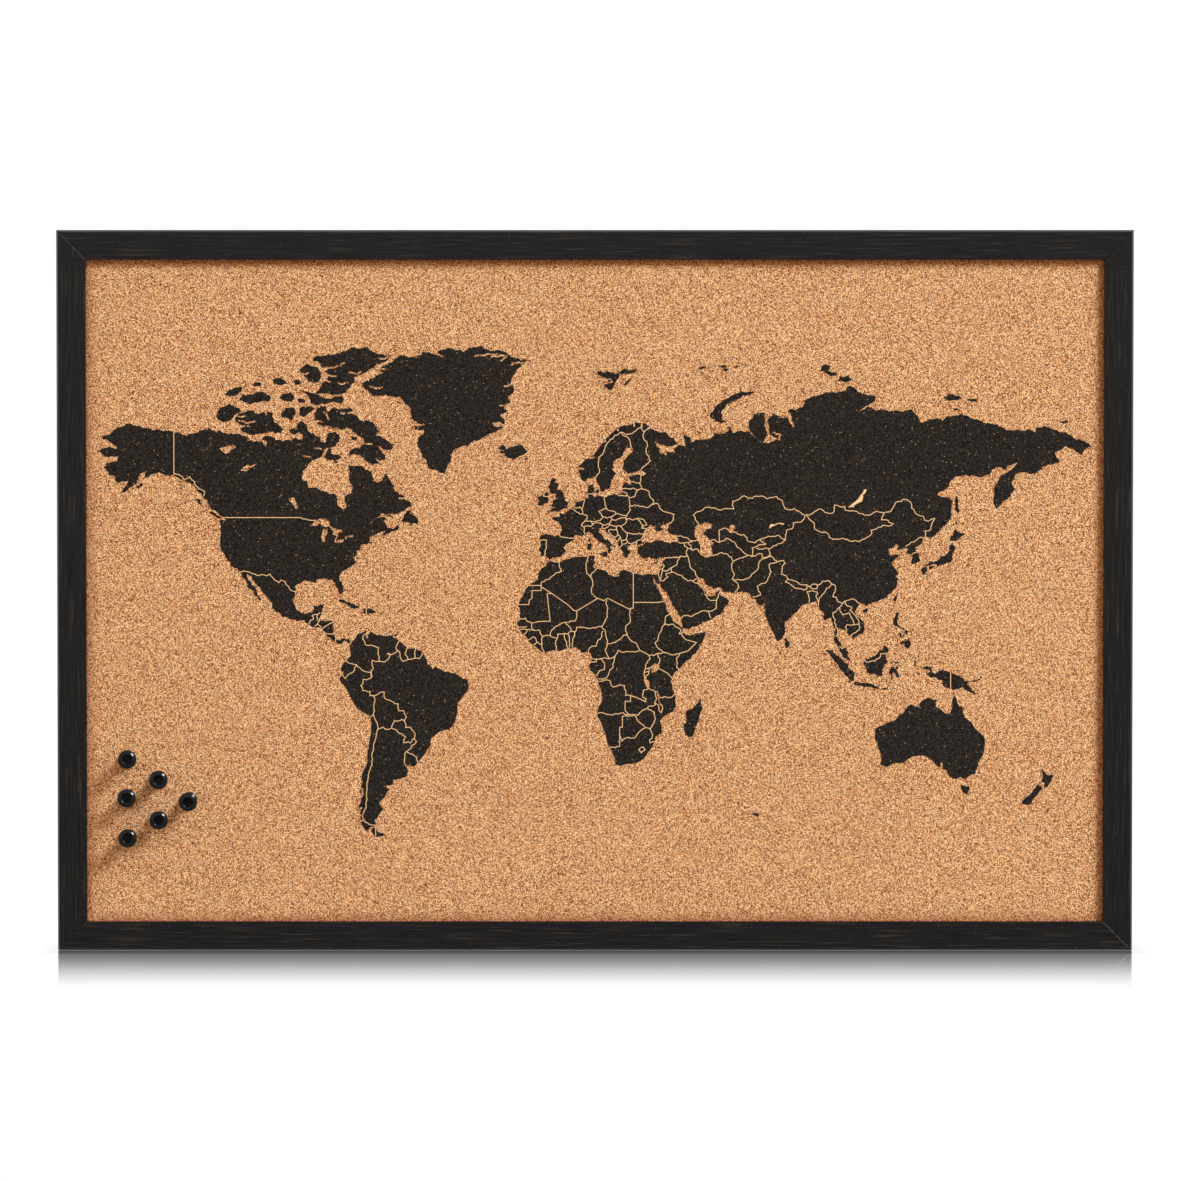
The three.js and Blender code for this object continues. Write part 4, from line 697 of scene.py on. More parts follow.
    "danube_delta": [(28.2, 45.4), (29.8, 45.4)],
    "hungary_croatia_serbia": [(16.2, 46.8), (16.6, 46.4), (18.6, 45.9), (20.3, 46.1)],
    "slovenia_croatia": [(16.4, 46.5), (15.6, 45.8), (13.6, 45.4)],
    "croatia_bosnia": [(19, 44.9), (16.8, 45.2), (15.9, 44.9), (16.4, 44), (18.4, 42.7)],
    "croatia_serbia": [(19, 44.9), (18.8, 45.9)],
    "bosnia_serbia": [(19, 44.9), (19.4, 43.6), (18.5, 42.9)],
    "romania_serbia": [(20.3, 46.1), (21.6, 44.8), (22.7, 44.2)],
    "romania_bulgaria": [(22.7, 44.2), (25, 43.7), (27.2, 44.1), (28.6, 43.7)],
    "bulgaria_serbia": [(22.7, 44.2), (22.4, 42.3)],
    "montenegro": [(19.4, 43.6), (20.3, 42.8), (19.4, 41.9)],
    "albania_east": [(20.3, 42.8), (20.6, 41.8), (21, 40.8), (20, 39.7)],
    "macedonia_north": [(20.6, 41.9), (22.4, 42.3)],
    "greece_north": [(21, 40.8), (23, 41.3), (26.3, 41.7), (26.1, 40.8)],
    "macedonia_east": [(22.4, 42.3), (23, 41.3)],
    "bulgaria_turkey": [(26.3, 41.7), (28.1, 42)],
    "georgia_russia": [(39.9, 43.4), (42.6, 43.2), (44.6, 42.7), (46.6, 41.8), (48.5, 41.8)],
    "georgia_south": [(41.5, 41.5), (43.4, 41.1), (45, 41.3), (46.6, 41.8)],
    "armenia_turkey": [(43.4, 41.1), (43.7, 40.1), (44.8, 39.6)],
    "armenia_azerbaijan": [(45, 41.3), (46, 40.2), (46.5, 38.9)],
    "iran_azerbaijan": [(44.8, 39.6), (46.5, 38.9), (48, 39.4), (48.9, 38.4)],
    "turkey_iran": [(44.8, 39.6), (44.4, 38), (44.8, 37.2)],
    "turkey_syria_iraq": [(36.1, 35.9), (36.6, 36.7), (40, 36.8), (42.4, 37.2), (44.8, 37.2)],
    "syria_iraq": [(42.4, 37.2), (41.2, 35.6), (41, 34.4), (38.8, 33.4)],
    "syria_jordan": [(38.8, 33.4), (36.8, 32.3), (35.7, 32.7)],
    "lebanon": [(36, 34.7), (36.4, 34), (35.7, 33.1), (35.1, 33)],
    "israel_jordan": [(35.7, 33.1), (35.5, 31.6), (34.9, 29.5)],
    "israel_egypt": [(34.2, 31.4), (34.9, 29.4)],
    "jordan_saudi": [(34.9, 29.3), (36.2, 29.3), (37.8, 30.4), (37, 31.5), (39.2, 32.1)],
    "jordan_iraq": [(39.2, 32.1), (38.8, 33.4)],
    "iraq_saudi": [(39.2, 32.1), (42, 31.1), (44.8, 29.2), (46.6, 29.1)],
    "kuwait": [(48.6, 28.5), (47.5, 28.6), (46.6, 29.1), (48, 30.1)],
    "iran_iraq": [(44.8, 37.2), (45.4, 35.8), (45.6, 34), (47.6, 32.2), (47.8, 31), (48.6, 30)],
    "qatar_saudi": [(50.8, 24.8), (51.4, 24.5)],
    "emirates": [(51.5, 24.2), (52.4, 23), (55.2, 22.7), (55.8, 24.4), (56.3, 25.6)],
    "oman_saudi": [(55.2, 22.7), (55, 20), (52, 19)],
    "oman_yemen": [(52, 19), (53.1, 16.6)],
    "yemen_saudi": [(52, 19), (49, 18.6), (46.4, 17.2), (43.4, 17.4), (42.7, 16.5)],
    "iran_turkmenistan": [(53.9, 37.3), (57, 38.2), (60.4, 36.8), (61.2, 35.6)],
    "iran_afghanistan": [(61.2, 35.6), (60.6, 33.6), (61.6, 31.4), (60.9, 29.8)],
    "iran_pakistan": [(60.9, 29.8), (63.2, 27.2), (61.6, 25.1)],
    "afghanistan_pakistan": [
        (60.9, 29.8), (64.2, 29.5), (66.4, 30), (67.8, 31.4), (69.4, 32.4), (70.4, 33.8), (71.6, 36.2),
        (74.6, 37.1),
    ],
    "turkmenistan_afghanistan": [(61.2, 35.6), (64.6, 36.6), (66.6, 37.4)],
    "uzbekistan_turkmenistan": [
        (66.6, 37.4), (64.2, 39), (61.8, 41.2), (60, 42.2), (58.4, 42.6), (56.1, 41.3),
    ],
    "kazakhstan_turkmenistan": [(52.6, 41.8), (54.4, 42.2), (56.1, 41.3)],
    "kazakhstan_uzbekistan": [
        (56.1, 41.3), (56.1, 45), (58.6, 45.5), (61, 44.4), (65, 43.6), (66.6, 41.6), (69, 41.2),
        (70.9, 42.2),
    ],
    "kyrgyzstan_kazakhstan": [(70.9, 42.2), (74, 43.2), (80.2, 42.2)],
    "kyrgyzstan_uzbekistan": [(70.9, 42.2), (73, 40.8), (70.4, 40.6)],
    "kyrgyzstan_tajikistan": [(69.4, 39.6), (73.6, 39.5)],
    "tajikistan_uzbekistan": [(70.4, 40.6), (69.4, 40), (68, 39.6), (68.2, 38.4), (67.8, 37.2)],
    "tajikistan_afghanistan": [
        (66.6, 37.4), (69.2, 37.2), (70.4, 38), (71.6, 37.9), (71.6, 36.7), (74.6, 37.4),
    ],
    "kyrgyzstan_china": [(80.2, 42.2), (76.4, 40.4), (73.8, 39.4)],
    "tajikistan_china": [(73.8, 39.4), (74.6, 37.3)],
    "kazakhstan_china": [(80.2, 42.2), (80.6, 45), (82.6, 45.3), (83, 47), (85.6, 47.2), (87.3, 49.1)],
    "kazakhstan_russia": [
        (47.6, 45.6), (49, 46.4), (47.6, 47.8), (46.8, 49.2), (48.8, 50.2), (51.4, 51.4), (55, 50.9),
        (58.6, 51), (61.4, 50.8), (61, 53), (65.2, 54.4), (71, 54.3), (73.4, 53.6), (76.8, 54.2),
        (80, 50.9), (83.4, 51), (87.3, 49.1),
    ],
    "russia_mongolia": [
        (87.8, 49.2), (92.2, 50.8), (97.8, 49.8), (98.4, 52), (102.2, 51.4), (102.4, 50.5), (106.6, 50.2),
        (110.8, 49.2), (116.6, 49.8),
    ],
    "china_mongolia": [
        (87.8, 49.1), (90.8, 47), (91, 45.2), (95.4, 44.2), (96.4, 42.7), (101.8, 42.5), (105, 41.6),
        (109.6, 42.4), (112, 43.8), (111.8, 45), (116.6, 46.3), (119.8, 46.7), (118, 47.8), (115.6, 47.8),
        (116.6, 49.8),
    ],
    "china_russia": [
        (116.6, 49.8), (119.2, 50.2), (120.8, 52.6), (123.6, 53.5), (126, 52.7), (127.6, 49.8),
        (130.6, 48.8), (131, 47.7), (134.6, 48.3), (133.2, 45.1), (131.2, 44.8), (131.2, 43.2), (130.6, 42.5),
    ],
    "china_north_korea": [(130.6, 42.5), (129.8, 42.9), (128, 42), (126.4, 41.4), (124.4, 40)],
    "korea": [(126.5, 37.8), (128.5, 38.5)],
    "india_pakistan": [
        (68.2, 23.8), (71, 24.4), (70.2, 26), (69.8, 27.4), (72.4, 28.4), (74, 30.4), (75, 32.2),
        (74.2, 33.4), (74.2, 34.6), (77.2, 35.4),
    ],
    "china_pakistan": [(74.6, 37.1), (76, 36), (77.2, 35.4)],
    "china_india_west": [
        (77.2, 35.4), (79.4, 35.8), (80.2, 34.8), (79, 34), (78.8, 32.6), (78.6, 31.4), (81, 30.1),
    ],
    "nepal_north": [(81, 30.1), (83.6, 29.2), (86, 28), (88.1, 27.9)],
    "nepal_south": [(81, 30.1), (80.1, 28.8), (82.8, 27.5), (85.4, 26.6), (88, 26.4), (88.1, 27.9)],
    "bhutan_north": [(88.1, 27.9), (88.9, 27.3), (90.4, 28.2), (92, 27.8)],
    "bhutan_south": [(88.9, 27.3), (89.8, 26.8), (92, 26.9), (92, 27.8)],
    "china_india_east": [(92, 27.8), (94, 29.2), (96.2, 29.3), (97.4, 28.2)],
    "bangladesh": [
        (89, 21.8), (88.8, 24.2), (88.2, 25.6), (89.8, 26), (92.2, 25.1), (91.4, 24), (92.2, 22.8),
        (92.4, 20.9),
    ],
    "india_myanmar": [(92.5, 21.8), (93.4, 24), (94.6, 25.4), (95.4, 26.8), (97.4, 28.2)],
    "china_myanmar": [
        (97.4, 28.2), (98.7, 27.4), (98.6, 25.6), (97.7, 24), (99, 23.8), (99.4, 22.4), (101.2, 21.5),
    ],
    "myanmar_thailand": [
        (100.2, 20.3), (97.8, 18.5), (98.6, 16.2), (98.4, 15.1), (99.6, 12), (98.8, 10.2),
    ],
    "myanmar_laos": [(101.2, 21.5), (100.2, 20.3)],
    "thailand_laos": [
        (100.2, 20.3), (101, 18.4), (101.4, 17.7), (104, 18.3), (104.8, 16.4), (105.5, 14.4),
    ],
    "thailand_cambodia": [(105.5, 14.4), (103, 14.3), (102.4, 13.4), (102.8, 11.8)],
    "laos_china_vietnam": [
        (101.2, 21.5), (102.2, 22.4), (103, 20.8), (104.8, 20.2), (104, 19.2), (105.6, 18), (107.2, 16),
        (107.4, 14.6), (105.5, 14.2),
    ],
    "cambodia_vietnam": [(107.4, 14.6), (107.4, 12.4), (105.8, 11.4), (104.5, 10.4)],
    "china_vietnam": [(102.2, 22.4), (105.2, 23.2), (106.7, 22.2), (108, 21.5)],
    "malaysia_thailand": [(100.1, 6.6), (101.2, 5.8), (102.2, 6.3)],
    "borneo": [
        (109.4, 2), (109.8, 1.2), (112, 1.4), (113.4, 1.3), (114.8, 2.4), (115.4, 4), (117.8, 4.2),
    ],
    "new_guinea": [(141, -2.5), (141, -9.3)],
    "morocco_algeria": [(-2, 35.1), (-1.2, 32.3), (-4.8, 30.6), (-8.7, 28.7), (-8.7, 27.6)],
    "morocco_south": [(-13.2, 27.7), (-8.7, 27.7)],
    "western_sahara": [
        (-8.7, 27.6), (-8.7, 26), (-12, 26), (-12, 23.4), (-13, 22.8), (-13.1, 21.3), (-17, 21.2),
    ],
    "algeria_mauritania_mali": [(-8.7, 27.3), (-4.8, 25), (1.2, 21.1), (3.2, 19.2), (4.3, 19.1)],
    "mauritania_mali": [(-4.8, 25), (-6.5, 25), (-5.4, 15.5), (-9.4, 15.4), (-12.2, 14.8)],
    "senegal_mauritania": [(-16.5, 16.1), (-14.4, 16.6), (-12.2, 14.8)],
    "senegal_mali": [(-12.2, 14.8), (-11.4, 12.4)],
    "gambia": [(-16.8, 13.4), (-14, 13.5)],
    "senegal_guinea": [(-16.7, 12.4), (-13.7, 12.6), (-11.4, 12.4)],
    "guinea_bissau": [(-13.7, 12.6), (-14.8, 11)],
    "guinea_mali": [(-11.4, 12.4), (-9.2, 12.3), (-8, 10.2)],
    "guinea_sierra_leone": [(-13.2, 9.1), (-11.4, 10), (-10.3, 8.4)],
    "sierra_leone_liberia": [(-11.5, 7), (-10.3, 8.4)],
    "liberia_guinea_ivory": [(-10.3, 8.4), (-9.2, 7.4), (-8.3, 7.6), (-8.4, 6.4), (-7.5, 4.4)],
    "ivory_guinea": [(-8.3, 7.6), (-8, 10.2)],
    "ivory_mali_burkina": [(-8, 10.2), (-5.5, 10.4), (-2.8, 9.6)],
    "burkina_mali": [(-5.5, 10.4), (-4.2, 12.9), (-2.2, 14.2), (0.2, 15)],
    "burkina_niger": [(0.2, 15), (2.2, 12.6), (2.4, 12)],
    "mali_niger": [(0.2, 15), (3.6, 15.5), (4.3, 16.9), (4.3, 19.1)],
    "ivory_ghana": [(-2.8, 9.6), (-3.2, 6.4), (-2.9, 5)],
    "burkina_ghana_benin": [(-2.8, 9.6), (-2.8, 11), (0.9, 11), (2.4, 12)],
    "ghana_togo": [(-0.1, 11), (0.5, 8.4), (1.1, 6.1)],
    "togo_benin": [(0.9, 11), (1.6, 9), (1.7, 6.3)],
    "benin_nigeria": [(3.6, 11.7), (2.8, 9), (2.7, 6.4)],
    "niger_nigeria": [(2.4, 12), (3.6, 11.7), (4.2, 13.4), (8, 13.1), (10.4, 13.3), (13.4, 13.6)],
    "algeria_niger": [(4.3, 19.1), (12, 23.4)],
    "algeria_libya": [(12, 23.4), (9.6, 25.8), (9.8, 30), (9.3, 30.4)],
    "algeria_tunisia": [(9.3, 30.4), (7.6, 33.4), (8.4, 36.9)],
    "tunisia_libya": [(9.3, 30.4), (10.2, 32), (11.5, 33)],
    "libya_niger_chad": [(12, 23.4), (14.2, 22.6), (15.6, 23.4), (24, 19.5), (24, 20), (25, 20)],
    "niger_chad": [(15.2, 22.8), (15.6, 20), (15.4, 16.8), (13.4, 13.6)],
    "libya_egypt": [(25, 31.6), (25, 20)],
    "egypt_sudan": [(25, 22), (34, 22), (36.8, 22.4)],
    "chad_sudan": [(24, 19.7), (24, 15.8), (22.2, 13.6), (22.8, 11)],
    "chad_cameroon": [(13.4, 13.6), (14.6, 12.4), (15, 10.2), (15.5, 7.6)],
    "chad_central": [(15.5, 7.6), (18.6, 8.2), (22.8, 11)],
    "nigeria_cameroon": [(13.8, 12), (13.4, 10), (11.4, 6.8), (9.2, 6.2), (8.6, 4.8)],
    "sudan_central": [(22.8, 11), (24, 8.8), (27.4, 5.1)],
    "central_congo": [(27.4, 5.1), (23.4, 4.7), (19.4, 5.1), (18.5, 3.5)],
    "central_cameroon": [(15.5, 7.6), (14.6, 5.4), (16.2, 2.2), (18.5, 3.5)],
    "gabon_cameroon": [(9.8, 2.2), (13.2, 2.3), (16.2, 2.2)],
    "equatorial_guinea": [(9.6, 1), (11.4, 1.1), (11.4, 2.2)],
    "gabon_congo": [(13.2, 2.3), (14.4, 0.8), (14.4, -1.6), (12.4, -2.2), (11.4, -3.8)],
    "congo_river": [(18.5, 3.5), (17.6, -0.6), (16, -3.4), (15.2, -4.6), (12.2, -5)],
    "congo_angola": [
        (12.4, -5.9), (16.6, -5.9), (17.6, -8), (20, -7.2), (21.8, -7.4), (22.2, -11), (24, -11),
    ],
    "angola_zambia": [(24, -11), (24, -13), (22, -13), (22, -16.2), (23.4, -17.6)],
    "angola_namibia": [(11.8, -17.3), (18.4, -17.4), (23.4, -17.7)],
    "congo_zambia": [
        (24, -11), (26.8, -12), (29.4, -13.3), (29.8, -12.2), (28.6, -11.6), (28.6, -9.2), (30.6, -8.4),
    ],
    "congo_east": [
        (27.4, 5.1), (29.2, 4.4), (30.8, 3.4), (31.2, 2.2), (29.8, 0.4), (29.6, -1.4), (29, -2.8),
        (29.2, -4.4), (29.6, -6.6), (30.6, -8.4),
    ],
    "ethiopia_sudan": [
        (38.4, 17.9), (36.9, 17), (36.4, 14.3), (34.6, 11.2), (34.2, 10), (33, 7.8), (35, 5.4), (36, 4.6),
    ],
    "ethiopia_eritrea": [(36.4, 14.3), (39.6, 14.5), (42.4, 12.4)],
    "djibouti": [(42.4, 12.4), (41.8, 11), (43.1, 11.5)],
    "ethiopia_somalia": [(42.6, 11), (44, 9), (48, 8), (45, 5), (42, 4.1)],
    "ethiopia_kenya": [(36, 4.6), (39, 3.6), (42, 4.1)],
    "kenya_somalia": [(42, 4.1), (41, 2.6), (41, -0.9), (41.6, -1.7)],
    "sudan_uganda_kenya": [(30.8, 3.4), (34, 4), (36, 4.6)],
    "uganda_kenya": [(34.2, 4), (34.8, 1.8), (33.9, 0.1)],
    "uganda_rwanda_tanzania": [(29.6, -1.4), (30.8, -1), (33, -1)],
    "rwanda_burundi": [(30.8, -1), (30.8, -2.4), (29, -2.8)],
    "burundi_tanzania": [(30.6, -2.4), (30.6, -3.4), (29.4, -4.5)],
    "kenya_tanzania": [(33.9, -1), (37.6, -3), (39.2, -4.7)],
    "tanzania_zambia": [(30.6, -8.4), (33, -9.5), (34, -9.5)],
    "tanzania_mozambique": [(34.6, -11.5), (37.6, -11.7), (40.4, -10.5)],
    "malawi_zambia": [(33, -9.5), (33.4, -12.4), (32.8, -13.6), (34.4, -14.4)],
    "malawi_south": [(34.4, -14.4), (34.4, -16), (35.2, -17.1), (35.8, -15.6), (34.8, -13.6)],
    "zambia_mozambique": [(32.8, -13.6), (33.2, -14), (30.4, -14.9), (30.4, -15.6)],
    "zambia_zimbabwe": [(30.4, -15.6), (28.8, -16), (27, -17.8), (25.3, -17.8)],
    "zimbabwe_mozambique": [(30.4, -15.8), (32.8, -16.8), (32.8, -19.8), (31.3, -22.4)],
    "zimbabwe_botswana": [(25.3, -17.8), (27.6, -20.6), (29.4, -22.2), (31.3, -22.4)],
    "namibia_zambia_strip": [(23.4, -17.6), (25.3, -17.8), (23.4, -18.2), (21, -18.2)],
    "botswana_namibia": [(21, -18.2), (21, -22), (20, -22), (20, -28.4)],
    "botswana_south_africa": [
        (20, -24.8), (20.8, -26.8), (23.2, -25.4), (25.6, -25.6), (27.4, -23.4), (29.4, -22.2),
    ],
    "south_africa_namibia": [(20, -28.4), (18.4, -28.9), (16.4, -28.6)],
    "south_africa_mozambique": [(31.3, -22.4), (32, -25.2), (31.9, -25.9)],
    "swaziland": [(32, -25.8), (31, -26.2), (31.2, -27.3), (32.1, -26.9), (32.8, -26.9)],
    "lesotho": [(27, -29.6), (28.6, -28.6), (29.4, -29.6), (28, -30.6), (27, -29.6)],
}

# Borders that were drawn with a ruler.
RULED_BORDERS = (
    "alaska_straight",
    "parallel_49",
    "tierra_del_fuego",
    "israel_egypt",
    "syria_iraq",
    "morocco_south",
    "western_sahara",
    "algeria_mauritania_mali",
    "mauritania_mali",
    "algeria_niger",
    "libya_niger_chad",
    "libya_egypt",
    "egypt_sudan",
    "gambia",
    "equatorial_guinea",
    "ethiopia_somalia",
    "kenya_tanzania",
    "botswana_namibia",
    "angola_zambia",
    "new_guinea",
    "northern_ireland",
)


# ---- Node helpers ----
def new_material(name):
    """A node material, its tree and its shader."""
    material = bpy.data.materials.new(name)
    material.use_nodes = True
    tree = material.node_tree
    return material, tree, tree.nodes["Principled BSDF"]


def add_node(tree, kind, inputs=None, **settings):
    """A node whose inputs are linked or set, by input name or index."""
    node = tree.nodes.new(kind)
    for key, value in settings.items():
        setattr(node, key, value)
    for key, value in (inputs or {}).items():
        if isinstance(value, bpy.types.NodeSocket):
            tree.links.new(value, node.inputs[key])
        else:
            node.inputs[key].default_value = value
    return node


def millimetres(tree, stretch=(1.0, 1.0, 1.0)):
    """Object coordinates in millimetres, each axis times its stretch."""
    place = add_node(tree, "ShaderNodeTexCoord").outputs["Object"]
    scale = [1000.0 * part for part in stretch]
    return add_node(tree, "ShaderNodeMapping", {"Vector": place, "Scale": scale}).outputs["Vector"]


def noise(tree, vector, scale, detail=3.0, roughness=0.5):
    """Soft noise from 0 to 1, with scale patches to a millimetre."""
    inputs = {"Vector": vector, "Scale": scale, "Detail": detail, "Roughness": roughness}
    return add_node(tree, "ShaderNodeTexNoise", inputs).outputs["Fac"]


def cells(tree, vector, scale, feature="F1"):
    """The node of a pattern of cells, with scale cells to a millimetre."""
    inputs = {"Vector": vector, "Scale": scale}
    return add_node(tree, "ShaderNodeTexVoronoi", inputs, feature=feature)


def math_node(tree, operation, first, second=0.0):
    """The result of one Math node."""
    return add_node(tree, "ShaderNodeMath", {0: first, 1: second}, operation=operation).outputs[0]


def linear(colour):
    """An sRGB colour, 0 to 255, as linear RGBA."""
    parts = [value / 255.0 for value in colour]
    return [p / 12.92 if p <= 0.04045 else ((p + 0.055) / 1.055) ** 2.4 for p in parts] + [1.0]


def ramp(tree, factor, stops):
    """A colour ramp from (position, colour) stops, with colours as sRGB 0 to 255."""
    node = add_node(tree, "ShaderNodeValToRGB", {"Fac": factor})
    elements = node.color_ramp.elements
    while len(elements) < len(stops):
        elements.new(0.5)
    for element, (position, colour) in zip(elements, stops):
        element.position = position
        element.color = linear(colour)
    return node.outputs["Color"]


# The Mix node's colour sockets, which share their names with its other types' sockets.
MIX_FACTOR = 0
MIX_FIRST = 6
MIX_SECOND = 7
MIX_RESULT = 2


def mix(tree, factor, first, second):
    """The first colour, with the second over it by the factor."""
    inputs = {MIX_FACTOR: factor, MIX_FIRST: first, MIX_SECOND: second}
    return add_node(tree, "ShaderNodeMix", inputs, data_type="RGBA").outputs[MIX_RESULT]


def tint(tree, colour, factor, over):
    """A colour with another, as sRGB 0 to 255, over it by the factor."""
    return mix(tree, factor, colour, linear(over))


def span(tree, value, low, high, to_low=0.0, to_high=1.0, **settings):
    """A value that goes from to_low to to_high while the given one goes from low to high."""
    inputs = {"Value": value, "From Min": low, "From Max": high, "To Min": to_low, "To Max": to_high}
    return add_node(tree, "ShaderNodeMapRange", inputs, **settings).outputs["Result"]


def set_surface(tree, shader, colour, roughness, specular=None):
    """Links the colour, and links or sets the roughness and the specular level."""
    tree.links.new(colour, shader.inputs["Base Color"])
    if isinstance(roughness, bpy.types.NodeSocket):
        tree.links.new(roughness, shader.inputs["Roughness"])
    else:
        shader.inputs["Roughness"].default_value = roughness
    if specular is not None:
        shader.inputs["Specular IOR Level"].default_value = specular


def bump(tree, shader, height, strength, depth_mm):
    """Relief from a height of 0 to 1, without moving the surface."""
    inputs = {"Height": height, "Strength": strength, "Distance": depth_mm * MM}
    node = add_node(tree, "ShaderNodeBump", inputs)
    tree.links.new(node.outputs["Normal"], shader.inputs["Normal"])


# ---- Materials, with colours as sRGB 0 to 255 ----
GRANULES_PER_MM = 1.7
# The tones of the granules, from the rare darkest to the rare palest.
CORK_TONES = (
    (0.0, (80, 22, 2)),
    (0.16, (156, 74, 22)),
    (0.34, (216, 132, 62)),
    (0.6, (240, 162, 84)),
    (0.84, (255, 188, 116)),
    (1.0, (255, 231, 188)),
)
# What lies over those tones: seams between granules, pale chips, dark pits and flecks of bark,
# and painted shade by the frame.
CORK_SEAM = (140, 66, 24)
CORK_CHIP = (255, 229, 186)
CORK_PIT = (80, 18, 0)
CORK_BARK = (70, 32, 14)
CORK_EDGE_SHADE = (140, 70, 28)
PALE_LINE_TONES = ((0.35, (222, 182, 130)), (0.5, (242, 206, 156)), (0.65, (255, 230, 188)))
INK_SPECKS_PER_MM = 1.2
INK_TONES = ((0.38, (12, 11, 10)), (0.5, (28, 26, 25)), (0.64, (66, 62, 58)))
# Specks of bare cork in the print, and fainter ones where it is thin.
INK_BARE = (214, 190, 162)
INK_FAINT = (150, 124, 100)
FOIL_TONES = ((0.34, (2, 2, 2)), (0.46, (15, 14, 13)), (0.56, (23, 22, 21)), (0.68, (54, 52, 50)))
FOIL_HAZE = (18, 17, 16)
FOIL_DUST = (122, 116, 110)
CORE_TONES = ((0.3, (150, 132, 106)), (0.5, (176, 158, 130)), (0.7, (198, 182, 156)))
HARDBOARD_TONES = ((0.36, (104, 76, 52)), (0.5, (152, 120, 90)), (0.64, (192, 162, 130)))
HARDBOARD_SHADE = (122, 92, 66)
RUBBER_TONES = ((0.3, (34, 34, 36)), (0.5, (46, 46, 48)), (0.7, (62, 62, 63)))
PIN_TONES = ((0.3, (3, 3, 4)), (0.5, (6, 6, 8)), (0.75, (14, 15, 19)))


def cork_height(tree, place):
    """The relief of pressed cork granules, shared by the bare and the printed cork."""
    granules = cells(tree, place, GRANULES_PER_MM).outputs["Distance"]
    fine = noise(tree, place, 2.6, detail=3.0, roughness=0.6)
    return math_node(tree, "SUBTRACT", fine, math_node(tree, "MULTIPLY", granules, 0.5))


def cork_material():
    """Pressed cork: granules of many browns, thin dark seams, dark bark flecks, pale chips and painted shade
    by the frame.
    """
    material, tree, shader = new_material("cork")
    place = millimetres(tree)
    granule = cells(tree, place, GRANULES_PER_MM)
    tone = add_node(tree, "ShaderNodeSeparateColor", {"Color": granule.outputs["Color"]}).outputs[0]
    colour = ramp(tree, tone, CORK_TONES)
    seam = cells(tree, place, GRANULES_PER_MM, "DISTANCE_TO_EDGE").outputs["Distance"]
    colour = tint(tree, colour, span(tree, seam, 0.0, 0.12, 0.5, 0.0), CORK_SEAM)
    fine = noise(tree, place, 2.7, detail=1.0, roughness=0.4)
    colour = tint(tree, colour, span(tree, fine, 0.54, 0.58, 0.0, 1.0), CORK_CHIP)
    colour = tint(tree, colour, span(tree, fine, 0.46, 0.42, 0.0, 1.0), CORK_PIT)
    fleck = noise(tree, place, 1.3, detail=1.0, roughness=0.4)
    colour = tint(tree, colour, span(tree, fleck, 0.66, 0.7, 0.0, 0.9), CORK_BARK)
    # Painted shade: the cork is darkened along the frame's inner edge, as if shaded by the frame's lip.
    colour = tint(tree, colour, painted_edge_shade(tree, place), CORK_EDGE_SHADE)
    set_surface(tree, shader, colour, roughness=0.85, specular=0.15)
    bump(tree, shader, cork_height(tree, place), strength=0.5, depth_mm=0.3)
    return material


# Where the painted shade on the cork by the frame begins and ends, in millimetres past the
# frame's inner edge, how dark it gets, and how far its limit strays.
EDGE_SHADE_FROM = -4.8
EDGE_SHADE_TO = 1.2
EDGE_SHADE_LEVEL = 0.5
EDGE_SHADE_STRAY = 3.0


def painted_edge_shade(tree, place):
    """Painted shade: how much darker the cork is painted near the frame, with an uneven limit."""
    parts = add_node(tree, "ShaderNodeSeparateXYZ", {"Vector": place}).outputs
    sideways = math_node(tree, "ABSOLUTE", parts["X"])
    across = math_node(tree, "SUBTRACT", sideways, HALF_WIDTH - FACE_WIDTH)
    vertical = math_node(tree, "ABSOLUTE", parts["Z"])
    upward = math_node(tree, "SUBTRACT", vertical, HALF_HEIGHT - FACE_WIDTH)
    nearest = math_node(tree, "MAXIMUM", across, upward)
    patches = noise(tree, place, 0.35, detail=3.0, roughness=0.6)
    uneven = math_node(tree, "MULTIPLY", patches, EDGE_SHADE_STRAY)
    reach = math_node(tree, "ADD", nearest, uneven)
    return span(tree, reach, EDGE_SHADE_FROM, EDGE_SHADE_TO, 0.0, EDGE_SHADE_LEVEL)


def pale_line_material():
    """Bare cork in the fine lines between countries, paler than the cork around them."""
    material, tree, shader = new_material("pale_line")
    place = millimetres(tree)
    fine = noise(tree, place, 2.0, detail=3.0, roughness=0.6)
    colour = ramp(tree, fine, PALE_LINE_TONES)
    set_surface(tree, shader, colour, roughness=0.85, specular=0.15)
    bump(tree, shader, cork_height(tree, place), strength=0.3, depth_mm=0.2)
    return material


def ink_material():
    """Matt black print, with the cork's relief and small gaps in its cover."""
    material, tree, shader = new_material("map_ink")
    place = millimetres(tree)
    fine = noise(tree, place, 2.1, detail=2.0, roughness=0.6)
    colour = ramp(tree, fine, INK_TONES)
    speck = cells(tree, place, INK_SPECKS_PER_MM)
    chance = add_node(tree, "ShaderNodeSeparateColor", {"Color": speck.outputs["Color"]}).outputs[2]
    near = span(tree, speck.outputs["Distance"], 0.24, 0.34, 1.0, 0.0)
    bare = math_node(tree, "MULTIPLY", near, span(tree, chance, 0.97, 0.975, 0.0, 1.0))
    colour = tint(tree, colour, bare, INK_BARE)
    faint = math_node(tree, "MULTIPLY", near, span(tree, chance, 0.86, 0.87, 0.0, 0.4))
    colour = tint(tree, colour, faint, INK_FAINT)
    set_surface(tree, shader, colour, roughness=0.75, specular=0.06)
    bump(tree, shader, cork_height(tree, place), strength=0.35, depth_mm=0.25)
    return material


